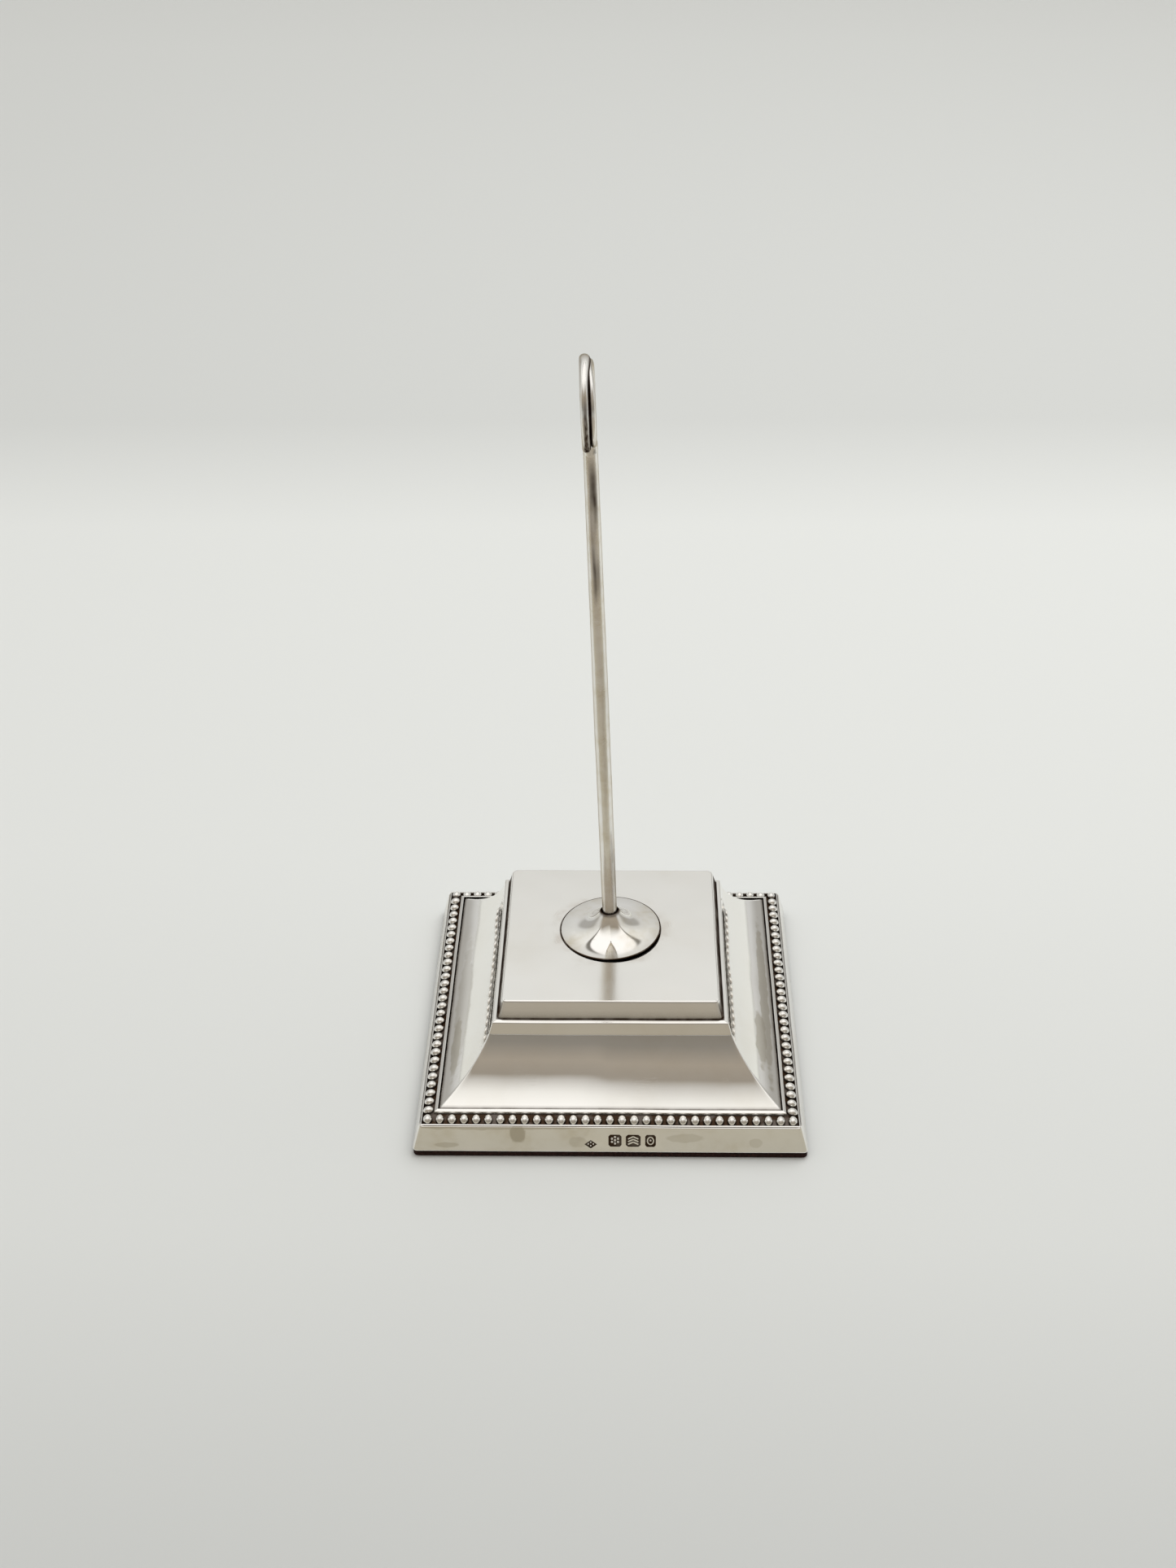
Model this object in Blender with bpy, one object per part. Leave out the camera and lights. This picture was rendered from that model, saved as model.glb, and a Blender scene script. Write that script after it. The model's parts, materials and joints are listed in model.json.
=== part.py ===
"""Table number holder: a weighted square silver foot, a swivelling stem and a two-turn card clip.

Lengths are written in millimetres and turned into metres where a mesh is made. The origin is
the centre of the felt underside, +Z is up, and the marked front of the foot faces -Y.
"""
import math

import bmesh
import bpy
from mathutils import Matrix, Vector

MM = 0.001
GAP = 0.3                    # clearance kept between pieces that touch on the real object

# --- Driving dimensions -----------------------------------------------------------------
FOOT_HALF = 32.85            # half the side of the foot at the table
FELT_THICK = 0.85
FELT_INSET = 0.2
BOARD_THICK = 2.0
SILVER_BOTTOM = FELT_THICK + GAP
FOOT_HEIGHT = 4.51           # height of the sloping front band of the foot
FOOT_TOP_HALF = 31.6
SHEET = 0.9                  # thickness of the silver sheet
REST_WIDTH = 2.4             # the shelf of the foot that the cove shell stands on

BEAD_HALF = 30.12            # half the side of the square that the bead centres follow
BEADS_PER_SIDE = 31          # counting the bead at each corner
BEAD_SIZE = (0.78, 0.9, 0.88)  # half sizes along the row, across it and upwards
BORDER_OUTER = 31.35
BORDER_INNER = 28.6
BORDER_SLOPE = 0.366         # the border rises this much for each millimetre inwards
BORDER_THICK = 0.7
CHANNEL_DEPTH = 0.35

COVE_BOTTOM = (28.25, 5.45)  # half side and height where the cove meets the border
COVE_BEND = (22.6, 8.95)
COVE_TOP = (20.18, 14.65)
LEDGE_HALF = 19.62
LEDGE_HEIGHT = 16.85
SHELL_SHIFT = (-0.75, -0.45)  # from the outside of the cove shell to its inside

CAP_BOTTOM_HALF = 18.95
CAP_TOP_HALF = 18.05
CAP_HEIGHT = 20.1
CAP_CORNER = 0.9
CAP_EDGE = 0.25

AXIS_X = 0.4                 # where the stem's axis meets the table
AXIS_Y = 1.0
AXIS_LEAN = math.radians(-1.5)
CLIP_TURN = math.radians(1.6)

STEM_RADIUS = 1.25
STEM_TIP_RADIUS = 1.05
TAPER_START = 60.0           # the stem is parallel up to this height
SPIGOT_RADIUS = 1.0          # the thinner threaded end of the stem
SPIGOT_END = 9.0
NUT_HEIGHT = 2.0
NUT_ACROSS_CORNERS = 2.9     # half of it
POCKET_RADIUS = 4.2
WASHER_THICK = 0.5
DECK_WASHER_RADIUS = 3.4
THRUST_WASHER_RADIUS = 4.6
THRUST_WASHER_THICK = 0.35
BORE_RADIUS = STEM_RADIUS + GAP
FLANGE_RADIUS = 8.75
FLANGE_LIFT = 0.5            # dark gap between the cap and the flange's rim
FLANGE_RIM = 0.35
FLANGE_RISE = 3.35
FLANGE_HOLLOW = 5.0          # radius of the hollow under the flange, round its washer
HOLLOW_DEPTH = 0.45
NECK_RADIUS = 1.75

WIRE_RADIUS = 0.525
RING_HEIGHT = 117.45         # height of the clip's centre above the silver's lower edge
LARGE_TURN = 6.525           # centreline radius of the turn soldered to the stem
SMALL_TURN = 5.775           # centreline radius of the free turn
TURN_OFFSET = WIRE_RADIUS + GAP / 2
SOLDER_SIZE = (1.25, 1.3, 0.85)  # half sizes of the lump at the ring's foot

CORNER_STEPS = 3             # straight pieces in each rounded corner


def up(height):
    """Height above the table of a point given from the silver's lower edge."""
    return SILVER_BOTTOM + height


# --- Materials ----------------------------------------------------------------------------
def make_material(name, colour, roughness, metallic):
    material = bpy.data.materials.new(name)
    material.use_nodes = True
    shader = material.node_tree.nodes["Principled BSDF"]
    shader.inputs["Base Color"].default_value = (*colour, 1.0)
    shader.inputs["Roughness"].default_value = roughness
    shader.inputs["Metallic"].default_value = metallic
    return material


SILVER = make_material("polished_silver", (0.86, 0.83, 0.79), 0.16, 1.0)
SATIN_SILVER = make_material("satin_silver", (0.84, 0.81, 0.77), 0.26, 1.0)
OXIDISED_SILVER = make_material("oxidised_silver", (0.62, 0.57, 0.52), 0.30, 1.0)
BRASS = make_material("brass_hardware", (0.72, 0.55, 0.27), 0.35, 1.0)
CEMENT = make_material("loading_cement", (0.46, 0.42, 0.38), 0.90, 0.0)
WOOD = make_material("base_wood", (0.42, 0.27, 0.16), 0.70, 0.0)
FELT = make_material("maroon_felt", (0.13, 0.04, 0.04), 0.95, 0.0)


# --- Mesh helpers -------------------------------------------------------------------------
def make_object(name, mesh_data, material, parent=None):
    bmesh.ops.recalc_face_normals(mesh_data, faces=mesh_data.faces)
    bmesh.ops.scale(mesh_data, vec=(MM, MM, MM), verts=mesh_data.verts)
    mesh = bpy.data.meshes.new(name)
    mesh_data.to_mesh(mesh)
    mesh_data.free()
    mesh.shade_smooth()
    mesh.set_sharp_from_angle(angle=math.radians(35))
    mesh.materials.append(material)
    item = bpy.data.objects.new(name, mesh)
    item.parent = parent
    bpy.context.scene.collection.objects.link(item)
    return item


def square_outline(half, height, corner):
    """Points round a square with rounded corners, always the same number of them."""
    points = []
    for quarter in range(4):
        start = math.radians(90 * quarter)
        middle = Vector((half - corner, half - corner)) @ Matrix.Rotation(-start, 2)
        for step in range(CORNER_STEPS + 1):
            angle = start + math.radians(90 * step / CORNER_STEPS)
            x = middle.x + corner * math.cos(angle)
            y = middle.y + corner * math.sin(angle)
            points.append((x, y, height))
    return points


def circle_outline(radius, height, sides):
    angles = [2 * math.pi * side / sides for side in range(sides)]
    return [(radius * math.cos(a), radius * math.sin(a), height) for a in angles]


def skin_rings(rings, joined):
    """Skin a stack of outlines; the ends are capped, or the last ring meets the first."""
    mesh_data = bmesh.new()
    rows = [[mesh_data.verts.new(point) for point in ring] for ring in rings]
    pairs = list(zip(rows, rows[1:]))
    if joined:
        pairs.append((rows[-1], rows[0]))
    else:
        mesh_data.faces.new(rows[0])
        mesh_data.faces.new(rows[-1])
    for lower, upper in pairs:
        for index in range(len(lower)):
            after = (index + 1) % len(lower)
            mesh_data.faces.new((lower[index], lower[after], upper[after], upper[index]))
    return mesh_data


def square_solid(name, profile, material, corner=0.05, joined=False):
    rings = [square_outline(half, height, corner) for half, height in profile]
    return make_object(name, skin_rings(rings, joined), material)


def turned_solid(name, profile, material, sides=48, joined=False, parent=None):
    rings = [circle_outline(radius, height, sides) for radius, height in profile]
    return make_object(name, skin_rings(rings, joined), material, parent)


def curve_points(start, bend, end, steps):
    """Points on the smooth curve from start to end that leans towards bend."""
    points = []
    for step in range(steps + 1):
        t = step / steps
        weights = ((1 - t) ** 2, 2 * t * (1 - t), t ** 2)
        corners = (start, bend, end)
        points.append(tuple(sum(w * c[i] for w, c in zip(weights, corners)) for i in (0, 1)))
    return points


def cut(target, cutter):
    """Cut one piece with a hidden cutter, which stays in the file as a guide."""
    cutter.hide_render = True
    cutter.display_type = "WIRE"
    modifier = target.modifiers.new("cut_" + cutter.name, "BOOLEAN")
    modifier.operation = "DIFFERENCE"
    modifier.object = cutter


def join(target, tool):
    """Unite a hidden shape with one piece."""
    tool.hide_render = True
    tool.display_type = "WIRE"
    modifier = target.modifiers.new("join_" + tool.name, "BOOLEAN")
    modifier.operation = "UNION"
    modifier.object = tool


# --- Weighted base ------------------------------------------------------------------------
def border_height(half):
    """Height of the sloping bead border's face at a distance from the middle."""
    return FOOT_HEIGHT + 0.1 + (BORDER_OUTER - half) * BORDER_SLOPE


def make_underside():
    felt_half = FOOT_HALF - FELT_INSET
    square_solid("felt_pad", [(felt_half, 0), (felt_half, FELT_THICK)], FELT, corner=0.6)
    board_half = FOOT_TOP_HALF - SHEET
    board = [(board_half, up(0)), (board_half, up(BOARD_THICK))]
    square_solid("base_board", board, WOOD, corner=0.6)


def make_foot_rim():
    floor = BORDER_THICK + GAP
    rest = COVE_BOTTOM[1] + SHELL_SHIFT[1] - GAP
    rest_inner = BORDER_INNER - REST_WIDTH
    profile = [
        (FOOT_HALF - 0.1, up(0)),
        (FOOT_HALF, up(0.15)),
        (FOOT_TOP_HALF + 0.06, up(FOOT_HEIGHT - 0.2)),
        (FOOT_TOP_HALF - 0.05, up(FOOT_HEIGHT)),
        (BORDER_OUTER + GAP / 2, up(FOOT_HEIGHT)),
        (BORDER_OUTER + GAP / 2, up(border_height(BORDER_OUTER) - floor)),
        (BORDER_INNER, up(rest)),
        (rest_inner, up(rest)),
        (rest_inner, up(rest - SHEET)),
        (BORDER_INNER, up(rest - SHEET)),
        (FOOT_TOP_HALF - SHEET + 0.1, up(border_height(BORDER_OUTER) - floor - SHEET)),
        (FOOT_HALF - SHEET, up(0)),
    ]
    square_solid("foot_rim", profile, SILVER, corner=0.35, joined=True)


def bead_dome(place, size, sides=6):
    """One low bead: a dome on the border's slope, with its lower half sunk into the strip."""
    rings = []
    for level in (-30, 10, 55):
        lift = math.sin(math.radians(level))
        spread = math.cos(math.radians(level))
        ring = circle_outline(spread, lift, sides)
        rings.append([(x * size[0], y * size[1], z * size[2]) for x, y, z in ring])
    mesh_data = skin_rings(rings, joined=False)
    bmesh.ops.transform(mesh_data, matrix=place, verts=mesh_data.verts)
    return mesh_data


def bead_places():
    """Positions of the beads of the front strip, from the left corner to the right."""
    pitch = 2 * BEAD_HALF / (BEADS_PER_SIDE - 1)
    slope = Matrix.Rotation(math.atan(BORDER_SLOPE), 4, "X")
    height = up(border_height(BEAD_HALF) - CHANNEL_DEPTH)
    for index in range(BEADS_PER_SIDE):
        yield Matrix.Translation((index * pitch - BEAD_HALF, -BEAD_HALF, height)) @ slope


def gather_beads(name, size, places, turn):
    """Many beads in one hidden object."""
    together = bpy.data.meshes.new(name)
    mesh_data = bmesh.new()
    for place in places:
        bead = bead_dome(turn @ place, size)
        bead.to_mesh(together)
        bead.free()
        mesh_data.from_mesh(together)
    return make_object(name, mesh_data, SILVER)


def strip_section():
    """Outline across the border: outer fillet, bead channel and inner fillet."""
    face = [
        (BORDER_OUTER, 0.0),
        (BORDER_OUTER - 0.2, 0.0),
        (BORDER_OUTER - 0.3, -CHANNEL_DEPTH),
        (BORDER_INNER + 0.6, -CHANNEL_DEPTH),
        (BORDER_INNER + 0.5, 0.05),
        (BORDER_INNER, 0.05),
        (BORDER_INNER, -BORDER_THICK),
        (BORDER_OUTER, -BORDER_THICK),
    ]
    return [(half, up(border_height(half) + lift)) for half, lift in face]


def make_bead_strip(name, quarter, corner_beads):
    """One side of the bead border, mitred at both ends."""
    turn = Matrix.Rotation(math.radians(90 * quarter), 4, "Z")
    mitre = GAP * math.sqrt(0.5)
    ends = []
    for side in (-1, 1):
        ends.append([(side * (half - mitre), -half, height) for half, height in strip_section()])
    mesh_data = skin_rings(ends, joined=False)
    bmesh.ops.transform(mesh_data, matrix=turn, verts=mesh_data.verts)
    strip = make_object(name, mesh_data, OXIDISED_SILVER)
    places = list(bead_places())
    if corner_beads:
        join(strip, gather_beads(name + "_beads", BEAD_SIZE, places, turn))
        return
    join(strip, gather_beads(name + "_beads", BEAD_SIZE, places[1:-1], turn))
    room = tuple(half + GAP for half in BEAD_SIZE)
    cut(strip, gather_beads(name + "_corner_room", room, (places[0], places[-1]), turn))


def make_cove_body(deck_hole):
    """The stamped shell: deck, ledge, plain band and hollow curve down to the border."""
    outer = [
        (LEDGE_HALF - 0.12, LEDGE_HEIGHT),
        (LEDGE_HALF, LEDGE_HEIGHT - 0.12),
        (COVE_TOP[0] - 0.06, COVE_TOP[1] + 0.25),
    ]
    outer += curve_points(COVE_TOP, COVE_BEND, COVE_BOTTOM, 14)
    foot = COVE_BOTTOM[1] + SHELL_SHIFT[1]
    skirt = [(COVE_BOTTOM[0], foot)]
    inner = [(half + SHELL_SHIFT[0], height + SHELL_SHIFT[1]) for half, height in outer[2:]]
    inner.append((LEDGE_HALF + SHELL_SHIFT[0], LEDGE_HEIGHT - SHEET))
    inner[:-1] = reversed(inner[:-1])
    profile = [(half, up(height)) for half, height in outer + skirt + inner]
    shell = square_solid("cove_body", profile, SILVER, corner=0.45)
    cut(shell, deck_hole)


def make_cap_plate(cap_hole):
    """The raised square block on the ledge, a shallow box open below."""
    bottom = LEDGE_HEIGHT + GAP / 2
    inside = CAP_TOP_HALF - SHEET
    profile = [
        (inside, up(CAP_HEIGHT - SHEET)),
        (inside + 0.6, up(bottom)),
        (CAP_BOTTOM_HALF, up(bottom)),
        (CAP_TOP_HALF, up(CAP_HEIGHT - CAP_EDGE)),
        (CAP_TOP_HALF - 0.3 * CAP_EDGE, up(CAP_HEIGHT - 0.3 * CAP_EDGE)),
        (CAP_TOP_HALF - CAP_EDGE, up(CAP_HEIGHT)),
    ]
    cap = square_solid("cap_plate", profile, SATIN_SILVER, corner=CAP_CORNER)
    cut(cap, cap_hole)


def make_weight_filling(pocket):
    """Cement loading poured into the shell, with a pocket for the stem's nut."""
    shift = (SHELL_SHIFT[0] * 1.6, SHELL_SHIFT[1] * 1.6)
    side = BORDER_INNER - REST_WIDTH - GAP
    profile = [(side, up(BOARD_THICK + GAP)), (side, up(COVE_BOTTOM[1]))]
    curve = curve_points(COVE_TOP, COVE_BEND, COVE_BOTTOM, 8)
    for half, height in reversed(curve[:-1]):
        profile.append((min(half + shift[0], side), up(height + shift[1])))
    profile.append((LEDGE_HALF + shift[0], up(LEDGE_HEIGHT - SHEET - GAP)))
    filling = square_solid("weight_filling", profile, CEMENT, corner=0.4)
    cut(filling, pocket)


# --- Swivelling stem ----------------------------------------------------------------------
def flange_height(radius):
    """Height of the flange's trumpet face above its rim."""
    t = (FLANGE_RADIUS - radius) / (FLANGE_RADIUS - NECK_RADIUS)
    return FLANGE_RISE * (0.12 * t + 0.88 * t ** 3)


def make_flange(axis):
    base = up(CAP_HEIGHT) + FLANGE_LIFT
    rim = base + FLANGE_RIM
    profile = [
        (FLANGE_RADIUS - 0.2, base),
        (FLANGE_RADIUS, base + 0.15),
        (FLANGE_RADIUS, rim - 0.15),
    ]
    steps = 12
    for step in range(1, steps + 1):
        radius = FLANGE_RADIUS + (NECK_RADIUS - FLANGE_RADIUS) * step / steps
        profile.append((radius, rim + flange_height(radius)))
    profile.append((BORE_RADIUS, rim + FLANGE_RISE))
    profile.append((BORE_RADIUS, base + HOLLOW_DEPTH))
    profile.append((FLANGE_HOLLOW, base + HOLLOW_DEPTH))
    profile.append((FLANGE_HOLLOW, base))
    turned_solid("flange", profile, SILVER, sides=48, joined=True, parent=axis)


def make_washer(name, outer, low, high, axis):
    profile = [(BORE_RADIUS, low), (outer, low), (outer, high), (BORE_RADIUS, high)]
    turned_solid(name, profile, BRASS, sides=32, joined=True, parent=axis)


def make_stem(axis):
    """The rod: a thin threaded end inside the base, then a slow taper up to the clip."""
    shoulder = up(LEDGE_HEIGHT) + 1.0
    tip = up(RING_HEIGHT - LARGE_TURN) - WIRE_RADIUS - GAP
    profile = [
        (SPIGOT_RADIUS - 0.25, up(SPIGOT_END)),
        (SPIGOT_RADIUS, up(SPIGOT_END + 0.25)),
        (SPIGOT_RADIUS, shoulder),
        (STEM_RADIUS, shoulder + 0.2),
        (STEM_RADIUS, up(TAPER_START)),
        (STEM_TIP_RADIUS, tip - 0.1),
        (STEM_TIP_RADIUS - 0.1, tip),
    ]
    turned_solid("stem_rod", profile, SILVER, sides=24, parent=axis)


def make_nut(axis, top):
    """Hexagonal nut under the deck, locked on the threaded end of the stem."""
    foot = top - NUT_HEIGHT
    rings = [circle_outline(SPIGOT_RADIUS + GAP, height, 24) for height in (top, foot)]
    for height in (foot, top):
        ring = []
        for x, y, z in circle_outline(1.0, height, 24):
            turn = math.atan2(y, x) % math.radians(60) - math.radians(30)
            reach = NUT_ACROSS_CORNERS * math.cos(math.radians(30)) / math.cos(turn)
            ring.append((x * reach, y * reach, z))
        rings.append(ring)
    make_object("stem_nut", skin_rings(rings, joined=True), BRASS, axis)


def ring_wire(turn_radius, offset, opening, steps=48, sides=10):
    """Wire bent round the clip's centre, with a gap of the given half angle at the bottom."""
    rows = []
    for step in range(steps + (0 if opening == 0 else 1)):
        along = opening + (2 * math.pi - 2 * opening) * step / steps
        out = Vector((0, math.sin(along), -math.cos(along)))
        row = []
        for side in range(sides):
            around = 2 * math.pi * side / sides
            reach = turn_radius + WIRE_RADIUS * math.cos(around)
            across = offset + WIRE_RADIUS * math.sin(around)
            row.append(out * reach + Vector((across, 0, up(RING_HEIGHT))))
        rows.append(row)
    return skin_rings(rows, joined=opening == 0)


def make_clip(holder):
    """Two turns of wire side by side; a card slides between them."""
    fixed = make_object("clip_fixed_turn", ring_wire(LARGE_TURN, -TURN_OFFSET, 0), SILVER, holder)
    middle = up(RING_HEIGHT - LARGE_TURN) + SOLDER_SIZE[2] - WIRE_RADIUS
    lump = bmesh.new()
    bmesh.ops.create_uvsphere(lump, u_segments=16, v_segments=10, radius=1.0)
    place = Matrix.Translation((0, 0, middle)) @ Matrix.Diagonal((*SOLDER_SIZE, 1))
    bmesh.ops.transform(lump, matrix=place, verts=lump.verts)
    join(fixed, make_object("solder_lump", lump, SILVER, holder))
    clear = math.asin((SOLDER_SIZE[1] + GAP) / SMALL_TURN)
    spring = ring_wire(SMALL_TURN, TURN_OFFSET, clear)
    make_object("clip_spring_turn", spring, SILVER, holder)


def make_empty(name, location, rotation, parent=None):
    empty = bpy.data.objects.new(name, None)
    empty.location = location
    empty.rotation_euler = rotation
    empty.parent = parent
    bpy.context.scene.collection.objects.link(empty)
    return empty


def main():
    axis = make_empty("stem_axis", (AXIS_X * MM, AXIS_Y * MM, 0), (0, AXIS_LEAN, 0))
    holder = make_empty("clip_holder", (0, 0, 0), (0, 0, CLIP_TURN), axis)

    make_underside()
    make_foot_rim()
    for quarter, side in enumerate(("front", "right", "back", "left")):
        make_bead_strip("bead_strip_" + side, quarter, corner_beads=quarter % 2 == 0)

    deck = up(LEDGE_HEIGHT)
    hole = [(BORE_RADIUS, deck - 3), (BORE_RADIUS, deck + 6)]
    bore = turned_solid("stem_bore", hole, SILVER, sides=32, parent=axis)
    make_cove_body(bore)
    make_cap_plate(bore)
    room = [(POCKET_RADIUS, up(SPIGOT_END - 1.5)), (POCKET_RADIUS, deck + 1)]
    make_weight_filling(turned_solid("nut_pocket", room, CEMENT, sides=32, parent=axis))

    washer_top = deck - SHEET - GAP
    washer_foot = washer_top - WASHER_THICK
    make_washer("deck_washer", DECK_WASHER_RADIUS, washer_foot, washer_top, axis)
    make_nut(axis, washer_foot - GAP)
    thrust = up(CAP_HEIGHT) + GAP
    make_washer("thrust_washer", THRUST_WASHER_RADIUS, thrust, thrust + THRUST_WASHER_THICK, axis)
    make_flange(axis)
    make_stem(axis)
    make_clip(holder)
    bpy.context.view_layer.update()


for leftover in list(bpy.data.objects):
    bpy.data.objects.remove(leftover)
main()
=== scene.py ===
# %% [markdown]
# # A weighted silver table number holder
#
# The object is a small square foot of sheet silver, loaded so that it stands firmly, with a
# thin stem that turns on a round flange and a ring clip of two wire turns that grips a card.
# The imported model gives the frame: where every piece is and what it moves with. This file
# gives the looks. Every visible piece is built again as a smooth mesh, because polished metal
# shows each facet, and it takes its place from the frame's boxes and joints.

# %% Load the frame
import json
import math

import bmesh
import bpy
from mathutils import Matrix, Vector, noise


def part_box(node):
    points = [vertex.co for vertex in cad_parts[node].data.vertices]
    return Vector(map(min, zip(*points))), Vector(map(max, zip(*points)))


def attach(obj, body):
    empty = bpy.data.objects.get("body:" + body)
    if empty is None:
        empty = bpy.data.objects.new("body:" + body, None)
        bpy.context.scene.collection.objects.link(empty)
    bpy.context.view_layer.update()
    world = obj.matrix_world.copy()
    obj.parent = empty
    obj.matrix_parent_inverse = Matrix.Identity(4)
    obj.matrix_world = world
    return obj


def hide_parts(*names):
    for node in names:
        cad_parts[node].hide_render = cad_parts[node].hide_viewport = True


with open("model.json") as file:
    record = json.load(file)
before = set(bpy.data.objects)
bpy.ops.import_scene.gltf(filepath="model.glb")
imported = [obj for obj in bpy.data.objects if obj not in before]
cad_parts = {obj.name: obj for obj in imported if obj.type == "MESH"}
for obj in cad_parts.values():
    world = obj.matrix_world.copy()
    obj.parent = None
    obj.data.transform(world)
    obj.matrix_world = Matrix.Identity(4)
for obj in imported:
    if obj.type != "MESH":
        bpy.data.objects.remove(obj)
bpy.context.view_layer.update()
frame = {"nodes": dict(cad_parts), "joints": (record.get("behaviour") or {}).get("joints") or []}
MM = 0.001

# %% [markdown]
# ## The camera
#
# A camera is a place, a direction and a lens. The holder is looked at from the front and from
# well above, with a normal lens. The three turns are written as a product of rotations: first
# the roll about the lens, then the pitch down from the horizon, then a small turn to one side.

# %% Camera
CAMERA_PLACE = Vector((4.06, -251.6, 224.75)) * MM
CAMERA_PITCH = math.radians(34.38)
CAMERA_TURN = math.radians(1.75)
CAMERA_ROLL = math.radians(-0.93)
CAMERA_LENS = 42.64

camera_data = bpy.data.cameras.new("camera")
camera_data.lens = CAMERA_LENS
camera_data.sensor_width = 36.0
camera_data.clip_start = 0.01
camera_data.clip_end = 20.0
camera = bpy.data.objects.new("camera", camera_data)
bpy.context.scene.collection.objects.link(camera)
camera.matrix_world = (
    Matrix.Translation(CAMERA_PLACE)
    @ Matrix.Rotation(CAMERA_TURN, 4, "Z")
    @ Matrix.Rotation(math.radians(90) - CAMERA_PITCH, 4, "X")
    @ Matrix.Rotation(CAMERA_ROLL, 4, "Z")
)
bpy.context.scene.camera = camera
bpy.context.scene.view_settings.view_transform = "Standard"

# %% [markdown]
# ## Small helpers for node trees
#
# Materials, the studio's sky and the bead rows are all node trees. Two short functions keep
# them readable: one adds a node and sets its inputs, the other links a chain of sockets.

# %% Node helpers
def add_node(tree, kind, settings=None, **inputs):
    """Add a node, set its properties, and fill inputs named by their socket's name."""
    node = tree.nodes.new(kind)
    for key, value in (settings or {}).items():
        setattr(node, key, value)
    for key, value in inputs.items():
        socket = node.inputs[key.replace("_", " ")]
        if isinstance(value, bpy.types.NodeSocket):
            tree.links.new(value, socket)
        else:
            socket.default_value = value
    return node


def math_node(tree, operation, first, second=0.0, clamp=False):
    """A Math node; each value may be a number or another node's output."""
    node = tree.nodes.new("ShaderNodeMath")
    node.operation = operation
    node.use_clamp = clamp
    for socket, value in zip(node.inputs, (first, second)):
        if isinstance(value, bpy.types.NodeSocket):
            tree.links.new(value, socket)
        else:
            socket.default_value = value
    return node.outputs[0]


def smooth_range(tree, value, low, high, to_low=0.0, to_high=1.0):
    """Map a value smoothly from one range to another."""
    node = add_node(tree, "ShaderNodeMapRange", {"interpolation_type": "SMOOTHSTEP"}, Value=value)
    for key, number in (("From Min", low), ("From Max", high), ("To Min", to_low), ("To Max", to_high)):
        node.inputs[key].default_value = number
    return node.outputs["Result"]


def colour_ramp(tree, value, stops):
    """A ramp from a list of (position, (red, green, blue))."""
    node = tree.nodes.new("ShaderNodeValToRGB")
    tree.links.new(value, node.inputs["Fac"])
    elements = node.color_ramp.elements
    while len(elements) < len(stops):
        elements.new(0.5)
    for element, (position, colour) in zip(elements, stops):
        element.position = position
        element.color = (*colour, 1.0)
    return node.outputs["Color"]


def mix_colour(tree, factor, first, second, blend="MIX"):
    """Mix two colours by a factor; each may be a tuple or a socket."""
    node = tree.nodes.new("ShaderNodeMix")
    node.data_type = "RGBA"
    node.blend_type = blend
    for index, value in ((0, factor), (6, first), (7, second)):
        socket = node.inputs[index]
        if isinstance(value, bpy.types.NodeSocket):
            tree.links.new(value, socket)
        else:
            socket.default_value = value if index == 0 else (*value, 1.0)
    return node.outputs[2]


# %% [markdown]
# ## The studio
#
# Silver has almost no colour of its own: it shows the room. So the room is designed first.
# A soft white tent stands all round. Overhead hangs a brighter panel with thin dark sides,
# narrow at the back and wide in front, and the flange draws it as a bell shape. In front the
# tent is open, and a dim warm-grey room shows there up to about half way to the top. The
# upright faces mirror that room and turn taupe, and the lying faces mirror the tent and turn
# white. Two dull corners at the back left and right give the side faces their grey.

# %% Sky with a panel and a dim room in front
TENT = (
    (0.00, (0.58, 0.58, 0.57)),
    (0.50, (0.62, 0.62, 0.61)),
    (0.70, (0.64, 0.64, 0.63)),
    (0.79, (0.68, 0.68, 0.66)),
    (0.835, (0.80, 0.80, 0.78)),
    (1.00, (1.00, 0.99, 0.97)),
)
ROOM = (
    (0.50, (0.24, 0.22, 0.19)),
    (0.60, (0.26, 0.24, 0.21)),
    (0.74, (0.38, 0.335, 0.28)),
    (0.84, (0.33, 0.295, 0.25)),
    (0.875, (0.58, 0.56, 0.53)),
    (0.93, (0.90, 0.885, 0.85)),
    (1.00, (1.12, 1.10, 1.07)),
)
DULL_CORNER = (0.40, 0.39, 0.37)
PANEL_WHITE = (1.08, 1.06, 1.04)
FRAME_DARK = (0.20, 0.19, 0.17)

world = bpy.data.worlds.new("studio")
bpy.context.scene.world = world
world.use_nodes = True
sky = world.node_tree
sky.nodes.clear()
direction = add_node(sky, "ShaderNodeTexCoord").outputs["Generated"]
parts = add_node(sky, "ShaderNodeSeparateXYZ", Vector=direction).outputs
aside = math_node(sky, "ABSOLUTE", parts["X"])


def sky_height(lowering):
    """Direction height from 0 (down) to 1 (up), lowered by a socket's value."""
    half = math_node(sky, "MULTIPLY", parts["Z"], 0.5)
    return math_node(sky, "SUBTRACT", math_node(sky, "ADD", half, 0.5), lowering)


tent_light = colour_ramp(sky, sky_height(0.0), TENT)
to_the_side = smooth_range(sky, aside, 0.34, 0.50)
behind = smooth_range(sky, parts["Y"], 0.0, 0.4)
above_floor = smooth_range(sky, parts["Z"], 0.02, 0.16)
below_panel = smooth_range(sky, parts["Z"], 0.42, 0.56, 1.0, 0.0)
corner_mask = math_node(sky, "MULTIPLY", to_the_side, behind)
corner_mask = math_node(sky, "MULTIPLY", corner_mask, above_floor)
corner_mask = math_node(sky, "MULTIPLY", corner_mask, below_panel)
tent_light = mix_colour(sky, corner_mask, tent_light, DULL_CORNER)

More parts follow.
